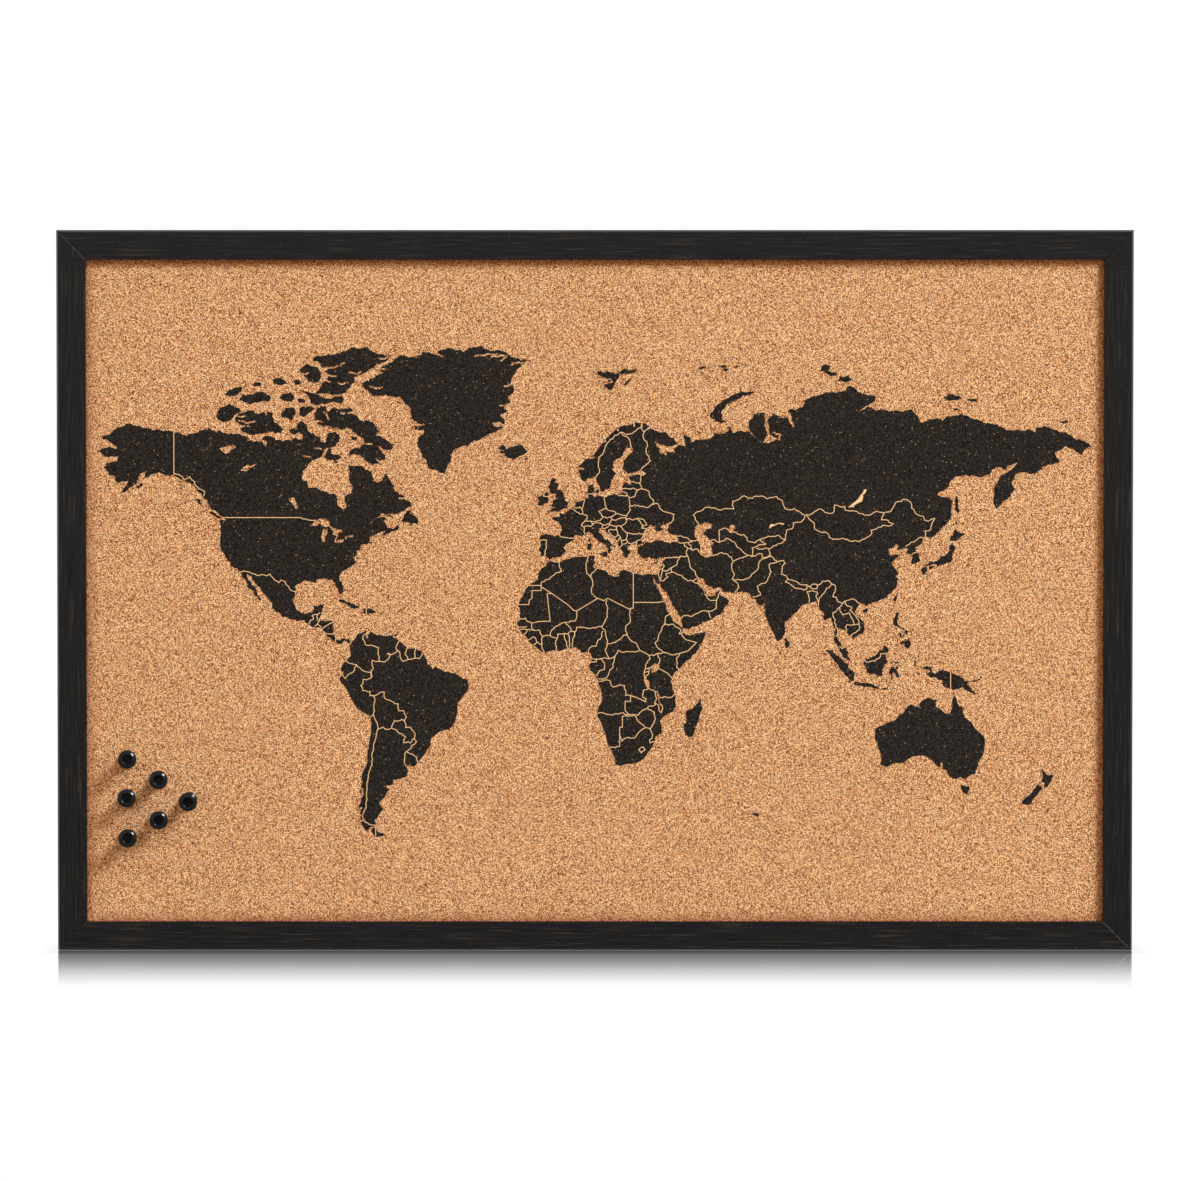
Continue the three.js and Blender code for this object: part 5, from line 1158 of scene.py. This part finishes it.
def foil_material(name, stretch):
    """Black foil with wood grain, whose lines run along the axis with the small stretch."""
    material, tree, shader = new_material(name)
    place = millimetres(tree, stretch)
    grain = noise(tree, place, 1.1, detail=5.0, roughness=0.62)
    broad = noise(tree, place, 0.3, detail=2.0)
    colour = ramp(tree, grain, FOIL_TONES)
    colour = tint(tree, colour, span(tree, broad, 0.35, 0.7, 0.0, 0.35), FOIL_HAZE)
    speck = noise(tree, millimetres(tree), 1.5, detail=2.0, roughness=0.4)
    colour = tint(tree, colour, span(tree, speck, 0.7, 0.74, 0.0, 0.7), FOIL_DUST)
    set_surface(tree, shader, colour, span(tree, grain, 0.3, 0.7, 0.16, 0.26), specular=0.17)
    bump(tree, shader, grain, strength=0.4, depth_mm=0.15)
    return material


def board_material():
    """Pale grey-brown fibre core."""
    material, tree, shader = new_material("core_board")
    place = millimetres(tree, (1.0, 3.0, 1.0))
    fibre = noise(tree, place, 0.8, detail=6.0, roughness=0.7)
    colour = ramp(tree, fibre, CORE_TONES)
    set_surface(tree, shader, colour, roughness=0.9)
    bump(tree, shader, fibre, strength=0.4, depth_mm=0.2)
    return material


def hardboard_material():
    """Brown hardboard with pressed fibres and a fine screen pattern."""
    material, tree, shader = new_material("hardboard")
    place = millimetres(tree)
    fibre = noise(tree, place, 0.9, detail=6.0, roughness=0.7)
    long_fibre = noise(tree, millimetres(tree, (0.12, 1.0, 1.0)), 1.6, detail=4.0, roughness=0.6)
    broad = noise(tree, place, 0.02)
    blend = math_node(tree, "MULTIPLY", math_node(tree, "ADD", fibre, long_fibre), 0.5)
    colour = ramp(tree, blend, HARDBOARD_TONES)
    colour = tint(tree, colour, span(tree, broad, 0.3, 0.7, 0.0, 0.3), HARDBOARD_SHADE)
    set_surface(tree, shader, colour, span(tree, fibre, 0.3, 0.7, 0.55, 0.75))
    screen = math_node(tree, "MULTIPLY", cells(tree, place, 0.8).outputs["Distance"], 0.3)
    bump(tree, shader, math_node(tree, "ADD", blend, screen), strength=0.35, depth_mm=0.15)
    return material


def metal_material(name, dark, light, grain, rough):
    """Metal with cloudy tone, fine scratches and uneven gloss."""
    material, tree, shader = new_material(name)
    place = millimetres(tree)
    cloud = noise(tree, place, grain, detail=4.0, roughness=0.6)
    colour = ramp(tree, cloud, ((0.3, dark), (0.7, light)))
    scratch = noise(tree, millimetres(tree, (0.15, 1.0, 1.0)), 6.0, detail=3.0, roughness=0.6)
    set_surface(tree, shader, colour, span(tree, scratch, 0.3, 0.7, rough - 0.07, rough + 0.1))
    shader.inputs["Metallic"].default_value = 1.0
    bump(tree, shader, scratch, strength=0.15, depth_mm=0.05)
    return material


def rubber_material():
    """Matt dark grey rubber with a fine grit."""
    material, tree, shader = new_material("pad_rubber")
    place = millimetres(tree)
    grit = noise(tree, place, 2.5, detail=4.0, roughness=0.6)
    colour = ramp(tree, grit, RUBBER_TONES)
    set_surface(tree, shader, colour, roughness=0.75)
    bump(tree, shader, grit, strength=0.3, depth_mm=0.15)
    return material


def pin_material(name, specular, smooth, rough):
    """Moulded black plastic with faint scuffs and slow ripples."""
    material, tree, shader = new_material(name)
    place = millimetres(tree)
    haze = noise(tree, place, 0.6, detail=3.0, roughness=0.5)
    colour = ramp(tree, haze, PIN_TONES)
    set_surface(tree, shader, colour, span(tree, haze, 0.35, 0.7, smooth, rough), specular)
    bump(tree, shader, haze, strength=0.15, depth_mm=0.1)
    return material


MATERIALS = {
    "cork": cork_material(),
    "pale_line": pale_line_material(),
    "map_ink": ink_material(),
    "foil_along_x": foil_material("foil_along_x", (0.03, 1.0, 1.0)),
    "foil_along_z": foil_material("foil_along_z", (1.0, 1.0, 0.03)),
    "core_board": board_material(),
    "hardboard": hardboard_material(),
    "zinc_steel": metal_material("zinc_steel", (150, 152, 155), (196, 198, 200), 0.7, 0.38),
    "ring_wire": metal_material("ring_wire", (168, 168, 170), (206, 206, 208), 1.2, 0.24),
    "pad_rubber": rubber_material(),
    "pin_plastic": pin_material("pin_plastic", 0.25, 0.02, 0.05),
    "pin_recess": pin_material("pin_recess", 0.06, 0.2, 0.35),
    "needle_steel": metal_material("needle_steel", (178, 180, 184), (214, 215, 218), 2.0, 0.16),
}


# The start of a CAD node's name, and its material.
NODE_FINISHES = (
    ("frame_rail", "foil_along_x"),
    ("frame_stile", "foil_along_z"),
    ("cork_sheet", "cork"),
    ("core_board", "core_board"),
    ("back_panel", "hardboard"),
    ("retaining_point", "zinc_steel"),
    ("v_nail", "zinc_steel"),
    ("hanger_strap", "zinc_steel"),
    ("hanger_screw", "zinc_steel"),
    ("hanger_ring", "ring_wire"),
    ("bumper_pad", "pad_rubber"),
    ("push_pin_head", "pin_plastic"),
    ("push_pin_needle", "needle_steel"),
)


def node_finish(name):
    """The material of a CAD node."""
    for start, finish in NODE_FINISHES:
        if name.startswith(start):
            return finish
    raise ValueError(name)


def paint_frame_nodes():
    """Each CAD node takes its finish's material, in every slot of its object."""
    for name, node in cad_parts.items():
        finish = node_finish(name)
        for slot in node.material_slots:
            slot.material = MATERIALS[finish]
        if not node.material_slots:
            node.data.materials.append(MATERIALS[finish])


# ---- Mesh helpers ----
def make_piece(name, points, faces, material, body, smooth_angle):
    """A mesh piece from points in millimetres, riding on a body, smooth below an angle in degrees."""
    mesh = bpy.data.meshes.new(name)
    mesh.from_pydata([Vector(point) * MM for point in points], [], faces)
    mesh.validate()
    work = bmesh.new()
    work.from_mesh(mesh)
    bmesh.ops.recalc_face_normals(work, faces=work.faces)
    work.to_mesh(mesh)
    work.free()
    mesh.materials.append(MATERIALS[material])
    mesh.polygons.foreach_set("use_smooth", [True] * len(mesh.polygons))
    mesh.set_sharp_from_angle(angle=math.radians(smooth_angle))
    piece = bpy.data.objects.new(name, mesh)
    bpy.context.scene.collection.objects.link(piece)
    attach(piece, body)
    return piece


def strip_faces(rings, count, closed_ends=True):
    """Faces between rings of count points each, and caps on the end rings."""
    faces = []
    for ring in range(rings - 1):
        for step in range(count):
            after = (step + 1) % count
            low = ring * count
            high = low + count
            faces.append((low + step, low + after, high + after, high + step))
    if closed_ends:
        last = (rings - 1) * count
        faces.append(tuple(range(count)))
        faces.append(tuple(range(last + count - 1, last - 1, -1)))
    return faces


def arc(centre, radius, start, end, steps):
    """Points on an arc in a plane, angles in degrees."""
    points = []
    for step in range(steps + 1):
        angle = math.radians(start + (end - start) * step / steps)
        points.append((centre[0] + radius * math.cos(angle), centre[1] + radius * math.sin(angle)))
    return points


# ---- Frame ----
# The short straights at each side of an eased corner.
SHOULDER = 0.25
CORNER_STEPS = 4
# A rail's last quarter of a millimetre by each mitre shrinks to this share of its section.
END_LENGTH = 0.25
END_SCALE = 0.988
RAIL_SMOOTH_ANGLE = 15
# The outer edge, as (distance in from the side, depth), from the side to the front: a narrow,
# steep chamfer with soft corners.
OUTER_EDGE = (
    (0.0, -17.15),
    (0.0, -17.4),
    (0.04, -17.58),
    (0.12, -17.76),
    (1.2, -19.73),
    (1.29, -19.855),
    (1.4, -19.94),
    (1.54, -19.985),
    (1.7, -20.0),
    (1.95, -20.0),
)


def eased_corner(centre, radius, start, end):
    """An arc with a short straight at each end, which keeps the flats next to it flat in shade."""
    points = arc(centre, radius, start, end, CORNER_STEPS)
    before = (Vector(points[0]) - Vector(points[1])).normalized()
    after = (Vector(points[-1]) - Vector(points[-2])).normalized()
    first = Vector(points[0]) + snapped(before) * SHOULDER
    last = Vector(points[-1]) + snapped(after) * SHOULDER
    return [tuple(first)] + points + [tuple(last)]


def snapped(direction):
    """The nearest of the section's two axes."""
    if abs(direction.x) > abs(direction.y):
        return Vector((math.copysign(1.0, direction.x), 0.0))
    return Vector((0.0, math.copysign(1.0, direction.y)))


def rail_profile():
    """The rail's section: distance in from the outer edge, and depth."""
    inner_front = (FACE_WIDTH - INNER_EASE, FRAME_FRONT + INNER_EASE)
    outer_back = (BACK_EASE, FRAME_BACK - BACK_EASE)
    inner = eased_corner(inner_front, INNER_EASE, 270, 360)
    back = eased_corner(outer_back, BACK_EASE, 90, 180)
    rabbet = [(FACE_WIDTH, LIP_BACK), (RABBET_WALL, LIP_BACK), (RABBET_WALL, FRAME_BACK)]
    return list(OUTER_EDGE) + inner + rabbet + back


def rail_piece(name, node, along, side):
    """One mitred rail. along is 0 for a level rail and 2 for an upright; side is 1 or -1."""
    profile = rail_profile()
    middle = (FACE_WIDTH / 2, (FRAME_FRONT + FRAME_BACK) / 2)
    half_length = HALF_WIDTH if along == 0 else HALF_HEIGHT
    half_across = HALF_HEIGHT if along == 0 else HALF_WIDTH
    gap = MITRE_GAP / 2 * math.sqrt(2)
    # From one end to the other: which end, how far back from its mitre, and the section's scale.
    stations = (
        (-1, 0.0, END_SCALE),
        (-1, END_LENGTH, 1.0),
        (1, END_LENGTH, 1.0),
        (1, 0.0, END_SCALE),
    )
    points = []
    for end, back_off, scale in stations:
        for depth_in, depth in profile:
            inward = middle[0] + (depth_in - middle[0]) * scale
            y = middle[1] + (depth - middle[1]) * scale
            length = end * (half_length - inward - gap - back_off)
            across = side * (half_across - inward)
            points.append((length, y, across) if along == 0 else (across, y, length))
    material = "foil_along_x" if along == 0 else "foil_along_z"
    faces = strip_faces(len(stations), len(profile))
    piece = make_piece(name, points, faces, material, "board", RAIL_SMOOTH_ANGLE)
    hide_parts(node)


def build_frame():
    """The four rails, in place of the CAD's."""
    rail_piece("rail_top", "frame_rail_top", 0, 1)
    rail_piece("rail_bottom", "frame_rail_bottom", 0, -1)
    rail_piece("stile_left", "frame_stile_left", 2, -1)
    rail_piece("stile_right", "frame_stile_right", 2, 1)


# ---- Printed map, in millimetres ----
DEGREE_MM = 1.5407
# Where the equator meets the Greenwich meridian on the board.
MAP_X = -17.9
MAP_Z = -41.25
MILLER = 0.8  # Miller's projection takes this share of each latitude
INK_GAP = 0.05
INK_THICK = 0.12
LINE_THICK = 0.09
# Lakes that were drawn as pale lines and not left bare.
PALE_LAKES = {"baikal", "balkhash"}
# A coast's sides are broken until they are shorter than this, and each break is shifted
# sideways by up to this share of its side.
COAST_STEP = 0.75
ROUGH_COASTS = {
    "north_america": 0.18,
    "greenland": 0.2,
    "baffin": 0.24,
    "ellesmere": 0.24,
    "victoria": 0.22,
    "svalbard": 0.22,
    "eurasia": 0.15,
    "south_america": 0.1,
    "africa": 0.06,
    "australia": 0.09,
}
USUAL_ROUGH = 0.15
# How often a coast that crosses itself is made smoother, and by how much each time.
SMOOTHINGS = 10
SMOOTHING = 0.5
BORDER_WIDTH = 0.43
BORDER_ROUGH = 0.16
BORDER_STEP = 1.0
INLET_WIDTH = 0.95
INLET_STEP = 1.2
# How far each quad of a line goes past its side's ends, as a share of the line's width.
LINE_OVERLAP = 0.25
SHORTEST_SIDE = 1e-6
# What Blender's triangulation is asked for: only faces inside outlines, with points this near
# each other made one.
FACES_INSIDE = 1
POINT_REACH = 1e-4
# The print isn't exact: all but the mainland of North America stands a little taller, and the
# land drifts east or west of its true place, by (longitude, millimetres). North of 25 degrees
# the second drift comes in as well, over 10 degrees.
HEIGHT_STRETCH = 1.012
TRUE_HEIGHT = {
    "north_america", "vancouver_island", "haida_gwaii", "kodiak", "newfoundland", "anticosti",
    "great_bear", "great_slave", "winnipeg", "superior", "michigan", "huron", "erie", "ontario",
    "alaska_straight", "alaska_panhandle", "parallel_49", "united_states_north",
    "great_lakes_west", "great_lakes_east", "niagara", "mexico_north",
    "wager_bay", "chesterfield", "hamilton",
}
EAST_SHIFTS = (
    (-170, 0.0), (-130, 0.5), (-90, 0.5), (-70, 1.1), (-20, 1.3), (10, 1.1), (40, 0.4), (55, 0.8),
    (75, 0.8), (90, 0.3), (105, -0.2), (120, -0.6), (150, -0.9), (175, -0.8), (190, -0.2),
)
NORTH_EAST_SHIFTS = ((122, 0.0), (128, 0.6), (143, 0.9), (160, 1.3), (190, 2.0))
NORTH_FROM = 25.0
NORTH_BLEND = 10.0


def on_board(name, places):
    """Longitudes and latitudes as x and z on the cork, by Miller's projection."""
    stretch = 1.0 if name in TRUE_HEIGHT else HEIGHT_STRETCH
    result = []
    for longitude, latitude in places:
        angle = math.radians(latitude)
        height = math.degrees(math.log(math.tan(math.pi / 4 + MILLER / 2 * angle)) / MILLER)
        x = MAP_X + DEGREE_MM * longitude + east_shift(longitude, latitude)
        result.append((x, MAP_Z + DEGREE_MM * height * stretch))
    return result


def east_shift(longitude, latitude):
    """How far east of its true place the print stands, in millimetres."""
    northern = min(max((latitude - NORTH_FROM) / NORTH_BLEND, 0.0), 1.0)
    return between(EAST_SHIFTS, longitude) + northern * between(NORTH_EAST_SHIFTS, longitude)


def between(stops, place):
    """The height at a place of the line that joins (place, height) stops."""
    for (low, low_height), (high, high_height) in zip(stops, stops[1:]):
        if place <= high:
            share = max((place - low) / (high - low), 0.0)
            return low_height + (high_height - low_height) * share
    return stops[-1][1]


def roughen(points, rough, step, dice, closed):
    """Breaks each side at its middle, shifted sideways, until sides are shorter than step."""
    count = len(points)
    result = []
    for index in range(count if closed else count - 1):
        result += split_side(points[index], points[(index + 1) % count], rough, step, dice)
    if not closed:
        result.append(points[-1])
    return result


def split_side(start, end, rough, step, dice):
    """A side's points, without its end, broken at its middle again and again."""
    across = (end[0] - start[0], end[1] - start[1])
    if math.hypot(*across) < step:
        return [start]
    shift = dice.uniform(-rough, rough)
    middle = (
        (start[0] + end[0]) / 2 - across[1] * shift,
        (start[1] + end[1]) / 2 + across[0] * shift,
    )
    first = split_side(start, middle, rough, step, dice)
    return first + split_side(middle, end, rough, step, dice)


def ribbon(points, width):
    """Quads along an open line, each a little longer than its side, so that they overlap."""
    quads = []
    for start, end in zip(points, points[1:]):
        along = Vector((end[0] - start[0], end[1] - start[1]))
        if along.length < SHORTEST_SIDE:
            continue
        along.normalize()
        side = Vector((-along.y, along.x)) * width / 2
        tip = along * width * LINE_OVERLAP
        a = Vector(start) - tip
        b = Vector(end) + tip
        quads.append([a - side, b - side, b + side, a + side])
    return quads


def rough_shore(name, places, rough):
    """A closed outline with rough sides, which are made smoother where they cross."""
    roughs = [rough] * len(places)
    for _ in range(SMOOTHINGS):
        points = []
        owners = []
        for index, start in enumerate(places):
            end = places[(index + 1) % len(places)]
            side = split_side(start, end, roughs[index], COAST_STEP, random.Random(f"{name} {index}"))
            points += side
            owners += [index] * len(side)
        tangled = {owners[place] for place in crossings(points)}
        if not tangled:
            break
        for index in tangled:
            roughs[index] *= SMOOTHING
    return points


def crossings(points):
    """Where sides of a closed outline cross each other, looked for from west to east."""
    count = len(points)
    sides = [(points[index], points[(index + 1) % count], index) for index in range(count)]
    sides.sort(key=lambda side: min(side[0][0], side[1][0]))
    found = []
    for place, (start, end, index) in enumerate(sides):
        east = max(start[0], end[0])
        for other in range(place + 1, count):
            other_start, other_end, other_index = sides[other]
            if min(other_start[0], other_end[0]) > east:
                break
            if abs(index - other_index) in (1, count - 1):
                continue
            if intersect_line_line_2d(start, end, other_start, other_end):
                found += [index, other_index]
    return found


def map_outlines():
    """Every outline on the board, as (points, what it holds)."""
    outlines = []
    for name, places in LAND.items():
        rough = ROUGH_COASTS.get(name, USUAL_ROUGH)
        outlines.append((rough_shore(name, on_board(name, places), rough), "land"))
    for name, places in LAKES.items():
        kind = "border" if name in PALE_LAKES else "water"
        outlines.append((rough_shore(name, on_board(name, places), USUAL_ROUGH), kind))
    for name, places in INLETS.items():
        line = roughen(on_board(name, places), USUAL_ROUGH, INLET_STEP, random.Random(name), False)
        outlines += [(quad, "water") for quad in ribbon(line, INLET_WIDTH)]
    for name, places in BORDERS.items():
        rough = 0.0 if name in RULED_BORDERS else BORDER_ROUGH
        line = roughen(on_board(name, places), rough, BORDER_STEP, random.Random(name), False)
        outlines += [(quad, "border") for quad in ribbon(line, BORDER_WIDTH)]
    return outlines


def turning(points):
    """Twice the area inside the points, positive when they go anticlockwise."""
    return sum(a.cross(b) for a, b in zip(points, points[1:] + points[:1]))


def map_faces():
    """The map cut into triangles: its points, the land's faces and the border lines' faces."""
    points = []
    rings = []
    kinds = []
    for outline, kind in map_outlines():
        start = len(points)
        corners = [Vector(point) for point in outline]
        if turning(corners) < 0:
            corners.reverse()
        points += corners
        rings.append(list(range(start, len(points))))
        kinds.append(kind)
    verts, _, faces, _, _, origins = delaunay_2d_cdt(points, [], rings, FACES_INSIDE, POINT_REACH)
    land = []
    lines = []
    for face, origin in zip(faces, origins):
        held = {kinds[index] for index in origin}
        if held == {"land"}:
            land.append(face)
        elif held == {"land", "border"}:
            lines.append(face)
    return verts, land, lines


def print_piece(name, verts, faces, thick, material):
    """A thin closed layer of these faces, lying on the cork."""
    work = bmesh.new()
    made = {}
    for index in sorted({index for face in faces for index in face}):
        made[index] = work.verts.new((verts[index].x, CORK_FACE - INK_GAP, verts[index].y))
    for face in faces:
        work.faces.new([made[index] for index in face])
    bmesh.ops.recalc_face_normals(work, faces=work.faces)
    lifted = bmesh.ops.extrude_face_region(work, geom=list(work.faces))["geom"]
    tops = [item for item in lifted if isinstance(item, bmesh.types.BMVert)]
    bmesh.ops.translate(work, verts=tops, vec=(0.0, -thick, 0.0))
    bmesh.ops.recalc_face_normals(work, faces=work.faces)
    bmesh.ops.scale(work, vec=(MM, MM, MM), verts=work.verts)
    mesh = bpy.data.meshes.new(name)
    work.to_mesh(mesh)
    work.free()
    mesh.materials.append(MATERIALS[material])
    piece = bpy.data.objects.new(name, mesh)
    bpy.context.scene.collection.objects.link(piece)
    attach(piece, "board")


def build_map():
    """The black land, and the pale lines that fill the gaps between its countries."""
    verts, land, lines = map_faces()
    print_piece("world_map_print", verts, land, INK_THICK, "map_ink")
    print_piece("border_lines", verts, lines, LINE_THICK, "pale_line")


# ---- Push pins ----
# Each pin's x and z on the board, in millimetres, as in the CAD.
PIN_PLACES = {
    1: (-261.0, -94.2),
    2: (-261.0, -116.2),
    3: (-261.0, -138.2),
    4: (-243.7, -105.2),
    5: (-243.7, -127.2),
    6: (-226.4, -116.2),
}
# How far each pin leans, in degrees about x and about z.
PIN_LEANS = {
    1: (-3.6, 4.6),
    2: (-5.8, 3.2),
    3: (-4.4, 5.6),
    4: (-1.6, 4.9),
    5: (0.6, 5.6),
    6: (4.8, 0.6),
}
# Rings of PIN_PROFILE from this one on are the cap's matt recess.
RECESS_RING = 24
PIN_STEPS = 64
NEEDLE_STEPS = 16
PIN_SMOOTH_ANGLE = 40
# (radius, depth) from the flange by the cork round to the middle of the cap.
PIN_PROFILE = (
    (0.0, -18.8),
    (3.9, -18.8),
    (4.25, -18.95),
    (4.4, -19.3),
    (4.3, -19.7),
    (3.7, -20.1),
    (3.1, -20.7),
    (2.78, -21.7),
    (2.7, -22.9),
    (2.75, -24.2),
    (2.95, -25.5),
    (3.35, -26.5),
    (4.05, -27.1),
    (4.7, -27.5),
    (5.05, -27.85),
    (5.16, -28.2),
    (5.08, -28.55),
    (4.8, -28.88),
    (4.4, -29.17),
    (4.0, -29.42),
    (3.65, -29.62),
    (3.35, -29.76),
    (3.1, -29.81),
    (2.9, -29.76),
    (2.75, -29.6),
    (2.6, -29.3),
    (2.35, -29.16),
    (1.3, -29.1),
    (0.0, -29.08),
)
# The needle, from inside the flange to its tip.
NEEDLE_PROFILE = ((0.0, -18.9), (0.55, -18.9), (0.55, -12.2), (0.3, -10.4), (0.0, -9.3))


def lathe(profile, steps, place, lean):
    """Points and faces of a profile turned about an axis through place, leaning at the cork."""
    about_x = Matrix.Rotation(math.radians(lean[0]), 4, "X")
    tilt = about_x @ Matrix.Rotation(math.radians(lean[1]), 4, "Z")
    base = Vector((place[0], CORK_FACE, place[1]))
    rings = [item for item in profile if item[0] > 0]
    points = []
    for radius, depth in rings:
        for step in range(steps):
            angle = 2 * math.pi * step / steps
            arm = Vector((radius * math.cos(angle), depth - CORK_FACE, radius * math.sin(angle)))
            points.append(base + tilt @ arm)
    faces = strip_faces(len(rings), steps, closed_ends=False)
    for end, ring in ((profile[0], 0), (profile[-1], len(rings) - 1)):
        points.append(base + tilt @ Vector((0.0, end[1] - CORK_FACE, 0.0)))
        centre = len(points) - 1
        low = ring * steps
        faces += [(low + step, low + (step + 1) % steps, centre) for step in range(steps)]
    return points, faces


def build_pins():
    """Each pin's head and needle, on the pin's own body."""
    for number, place in PIN_PLACES.items():
        body = f"push_pin_{number}"
        lean = PIN_LEANS[number]
        shape = lathe(PIN_PROFILE, PIN_STEPS, place, lean)
        head = make_piece(f"pin_head_{number}", *shape, "pin_plastic", body, PIN_SMOOTH_ANGLE)
        head.data.materials.append(MATERIALS["pin_recess"])
        for face in head.data.polygons:
            face.material_index = int(min(face.vertices) >= RECESS_RING * PIN_STEPS)
        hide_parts(f"push_pin_head_{number}")
        shape = lathe(NEEDLE_PROFILE, NEEDLE_STEPS, place, lean)
        needle = make_piece(f"pin_needle_{number}", *shape, "needle_steel", body, PIN_SMOOTH_ANGLE)
        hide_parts(f"push_pin_needle_{number}")


# ---- Floor, light and camera, in metres ----
FLOOR_GAP = 0.0001
FLOOR_SIZE = (6.0, 6.0)
FLOOR_ROUGHNESS = 0.03
# The share of mirror image in the floor at the frame's front, and how far from it that fades.
REFLECTION = 0.86
REFLECTION_REACH = 0.2
# How far from the board's middle its contact shadow fades, back and front and to the sides.
CONTACT_DEPTHS = (0.01, 0.028)
CONTACT_WIDTHS = (0.3, 0.312)
CONTACT_LEVEL = 0.2
# The floor and the sky are a little brighter than white, so that they end without a line.
WHITE_LEVEL = 1.02
SKY_FOR_DIFFUSE = 0.74
# How bright the surroundings look below the horizon, and where they dim.
GROUND_LEVEL = 0.6
HORIZON = (-0.1, 0.0)
WHITE = (1.0, 1.0, 1.0, 1.0)
WARM_SKY = (1.0, 0.72, 0.5, 1.0)
KEY_TOWARDS = Vector((0.635, -0.452, 0.622))
KEY_DISTANCE = 8.0
KEY_SIZE = 3.0
KEY_POWER = 800.0
KEY_COLOUR = (0.96, 0.99, 1.0)
CAMERA_DISTANCE = 2.4
CAMERA_DOWN = 1.3  # degrees
CAMERA_AIM = Vector((-0.0025, -0.02, 0.0003))
CAMERA_CLIP = 50.0
FIELD_WIDTH = 0.658
SENSOR = 36.0


def distance_from(tree, coordinate, place):
    """How far a coordinate is from a place, either way."""
    return math_node(tree, "ABSOLUTE", math_node(tree, "SUBTRACT", coordinate, place))


def floor_material():
    """White with a mirror image that fades away from the board, and a shadow under it."""
    material = bpy.data.materials.new("floor")
    material.use_nodes = True
    tree = material.node_tree
    tree.nodes.clear()
    place = add_node(tree, "ShaderNodeTexCoord").outputs["Object"]
    axes = add_node(tree, "ShaderNodeSeparateXYZ", {"Vector": place}).outputs
    away = distance_from(tree, axes["Y"], FRAME_FRONT * MM)
    smooth = {"interpolation_type": "SMOOTHSTEP"}
    mirror = span(tree, away, 0.0, REFLECTION_REACH, REFLECTION, 0.0, **smooth)
    behind = distance_from(tree, axes["Y"], FRAME_FRONT * MM / 2)
    beside = distance_from(tree, axes["X"], 0.0)
    past_depth = span(tree, behind, *CONTACT_DEPTHS, CONTACT_LEVEL, 1.0)
    past_side = span(tree, beside, *CONTACT_WIDTHS, CONTACT_LEVEL, 1.0)
    lit = math_node(tree, "MAXIMUM", past_depth, past_side)
    bright = math_node(tree, "MULTIPLY", lit, WHITE_LEVEL)
    glow = add_node(tree, "ShaderNodeEmission", {"Color": WHITE, "Strength": bright}).outputs[0]
    inputs = {"Color": WHITE, "Roughness": FLOOR_ROUGHNESS}
    gloss = add_node(tree, "ShaderNodeBsdfGlossy", inputs).outputs[0]
    blend = add_node(tree, "ShaderNodeMixShader", {0: mirror, 1: glow, 2: gloss}).outputs[0]
    output = add_node(tree, "ShaderNodeOutputMaterial", {"Surface": blend})
    output.is_active_output = True
    return material


def build_floor():
    """A white glossy floor at the board's foot, seen only by the camera."""
    lowest = -HALF_HEIGHT * MM - FLOOR_GAP
    half_x = FLOOR_SIZE[0] / 2
    half_y = FLOOR_SIZE[1] / 2
    signs = ((-1, -1), (1, -1), (1, 1), (-1, 1))
    corners = [(half_x * sign_x, half_y * sign_y, lowest) for sign_x, sign_y in signs]
    mesh = bpy.data.meshes.new("floor")
    mesh.from_pydata(corners, [], [(0, 1, 2, 3)])
    mesh.materials.append(floor_material())
    floor = bpy.data.objects.new("floor", mesh)
    bpy.context.scene.collection.objects.link(floor)
    floor.visible_diffuse = False
    floor.visible_glossy = False


def build_sky():
    """A white room that lights the board warmly and is dimmer below the horizon."""
    world = bpy.data.worlds.new("studio")
    world.use_nodes = True
    bpy.context.scene.world = world
    tree = world.node_tree
    background = tree.nodes["Background"]
    path = add_node(tree, "ShaderNodeLightPath").outputs
    warmth = mix(tree, path["Is Diffuse Ray"], WHITE, WARM_SKY)
    tree.links.new(warmth, background.inputs["Color"])
    direction = add_node(tree, "ShaderNodeTexCoord").outputs["Generated"]
    height = add_node(tree, "ShaderNodeSeparateXYZ", {"Vector": direction}).outputs["Z"]
    dim_below = span(tree, height, *HORIZON, GROUND_LEVEL, 1.0)
    seen = math_node(tree, "MAXIMUM", dim_below, path["Is Camera Ray"])
    level = span(tree, path["Is Diffuse Ray"], 0.0, 1.0, WHITE_LEVEL, SKY_FOR_DIFFUSE)
    tree.links.new(math_node(tree, "MULTIPLY", seen, level), background.inputs["Strength"])


def build_light():
    """The sky, a large soft key light from the upper right, and colours shown as they are."""
    build_sky()
    scene = bpy.context.scene
    lamp = bpy.data.lights.new("key", "AREA")
    lamp.shape = "DISK"
    lamp.size = KEY_SIZE
    lamp.energy = KEY_POWER
    lamp.color = KEY_COLOUR
    key = bpy.data.objects.new("key", lamp)
    key.location = KEY_TOWARDS.normalized() * KEY_DISTANCE
    key.rotation_euler = KEY_TOWARDS.to_track_quat("Z", "Y").to_euler()
    scene.collection.objects.link(key)
    scene.view_settings.view_transform = "Standard"
    scene.view_settings.look = "None"


def build_camera():
    """A camera before the board, a little above its middle and looking slightly down."""
    lens = bpy.data.cameras.new("camera")
    lens.sensor_width = SENSOR
    lens.lens = SENSOR * CAMERA_DISTANCE / FIELD_WIDTH
    lens.clip_end = CAMERA_CLIP
    camera = bpy.data.objects.new("camera", lens)
    down = math.radians(CAMERA_DOWN)
    back = Vector((0.0, -math.cos(down), math.sin(down)))
    camera.location = CAMERA_AIM + back * CAMERA_DISTANCE
    camera.rotation_euler = back.to_track_quat("Z", "Y").to_euler()
    bpy.context.scene.collection.objects.link(camera)
    bpy.context.scene.camera = camera


paint_frame_nodes()
build_frame()
build_map()
build_pins()
build_floor()
build_light()
build_camera()
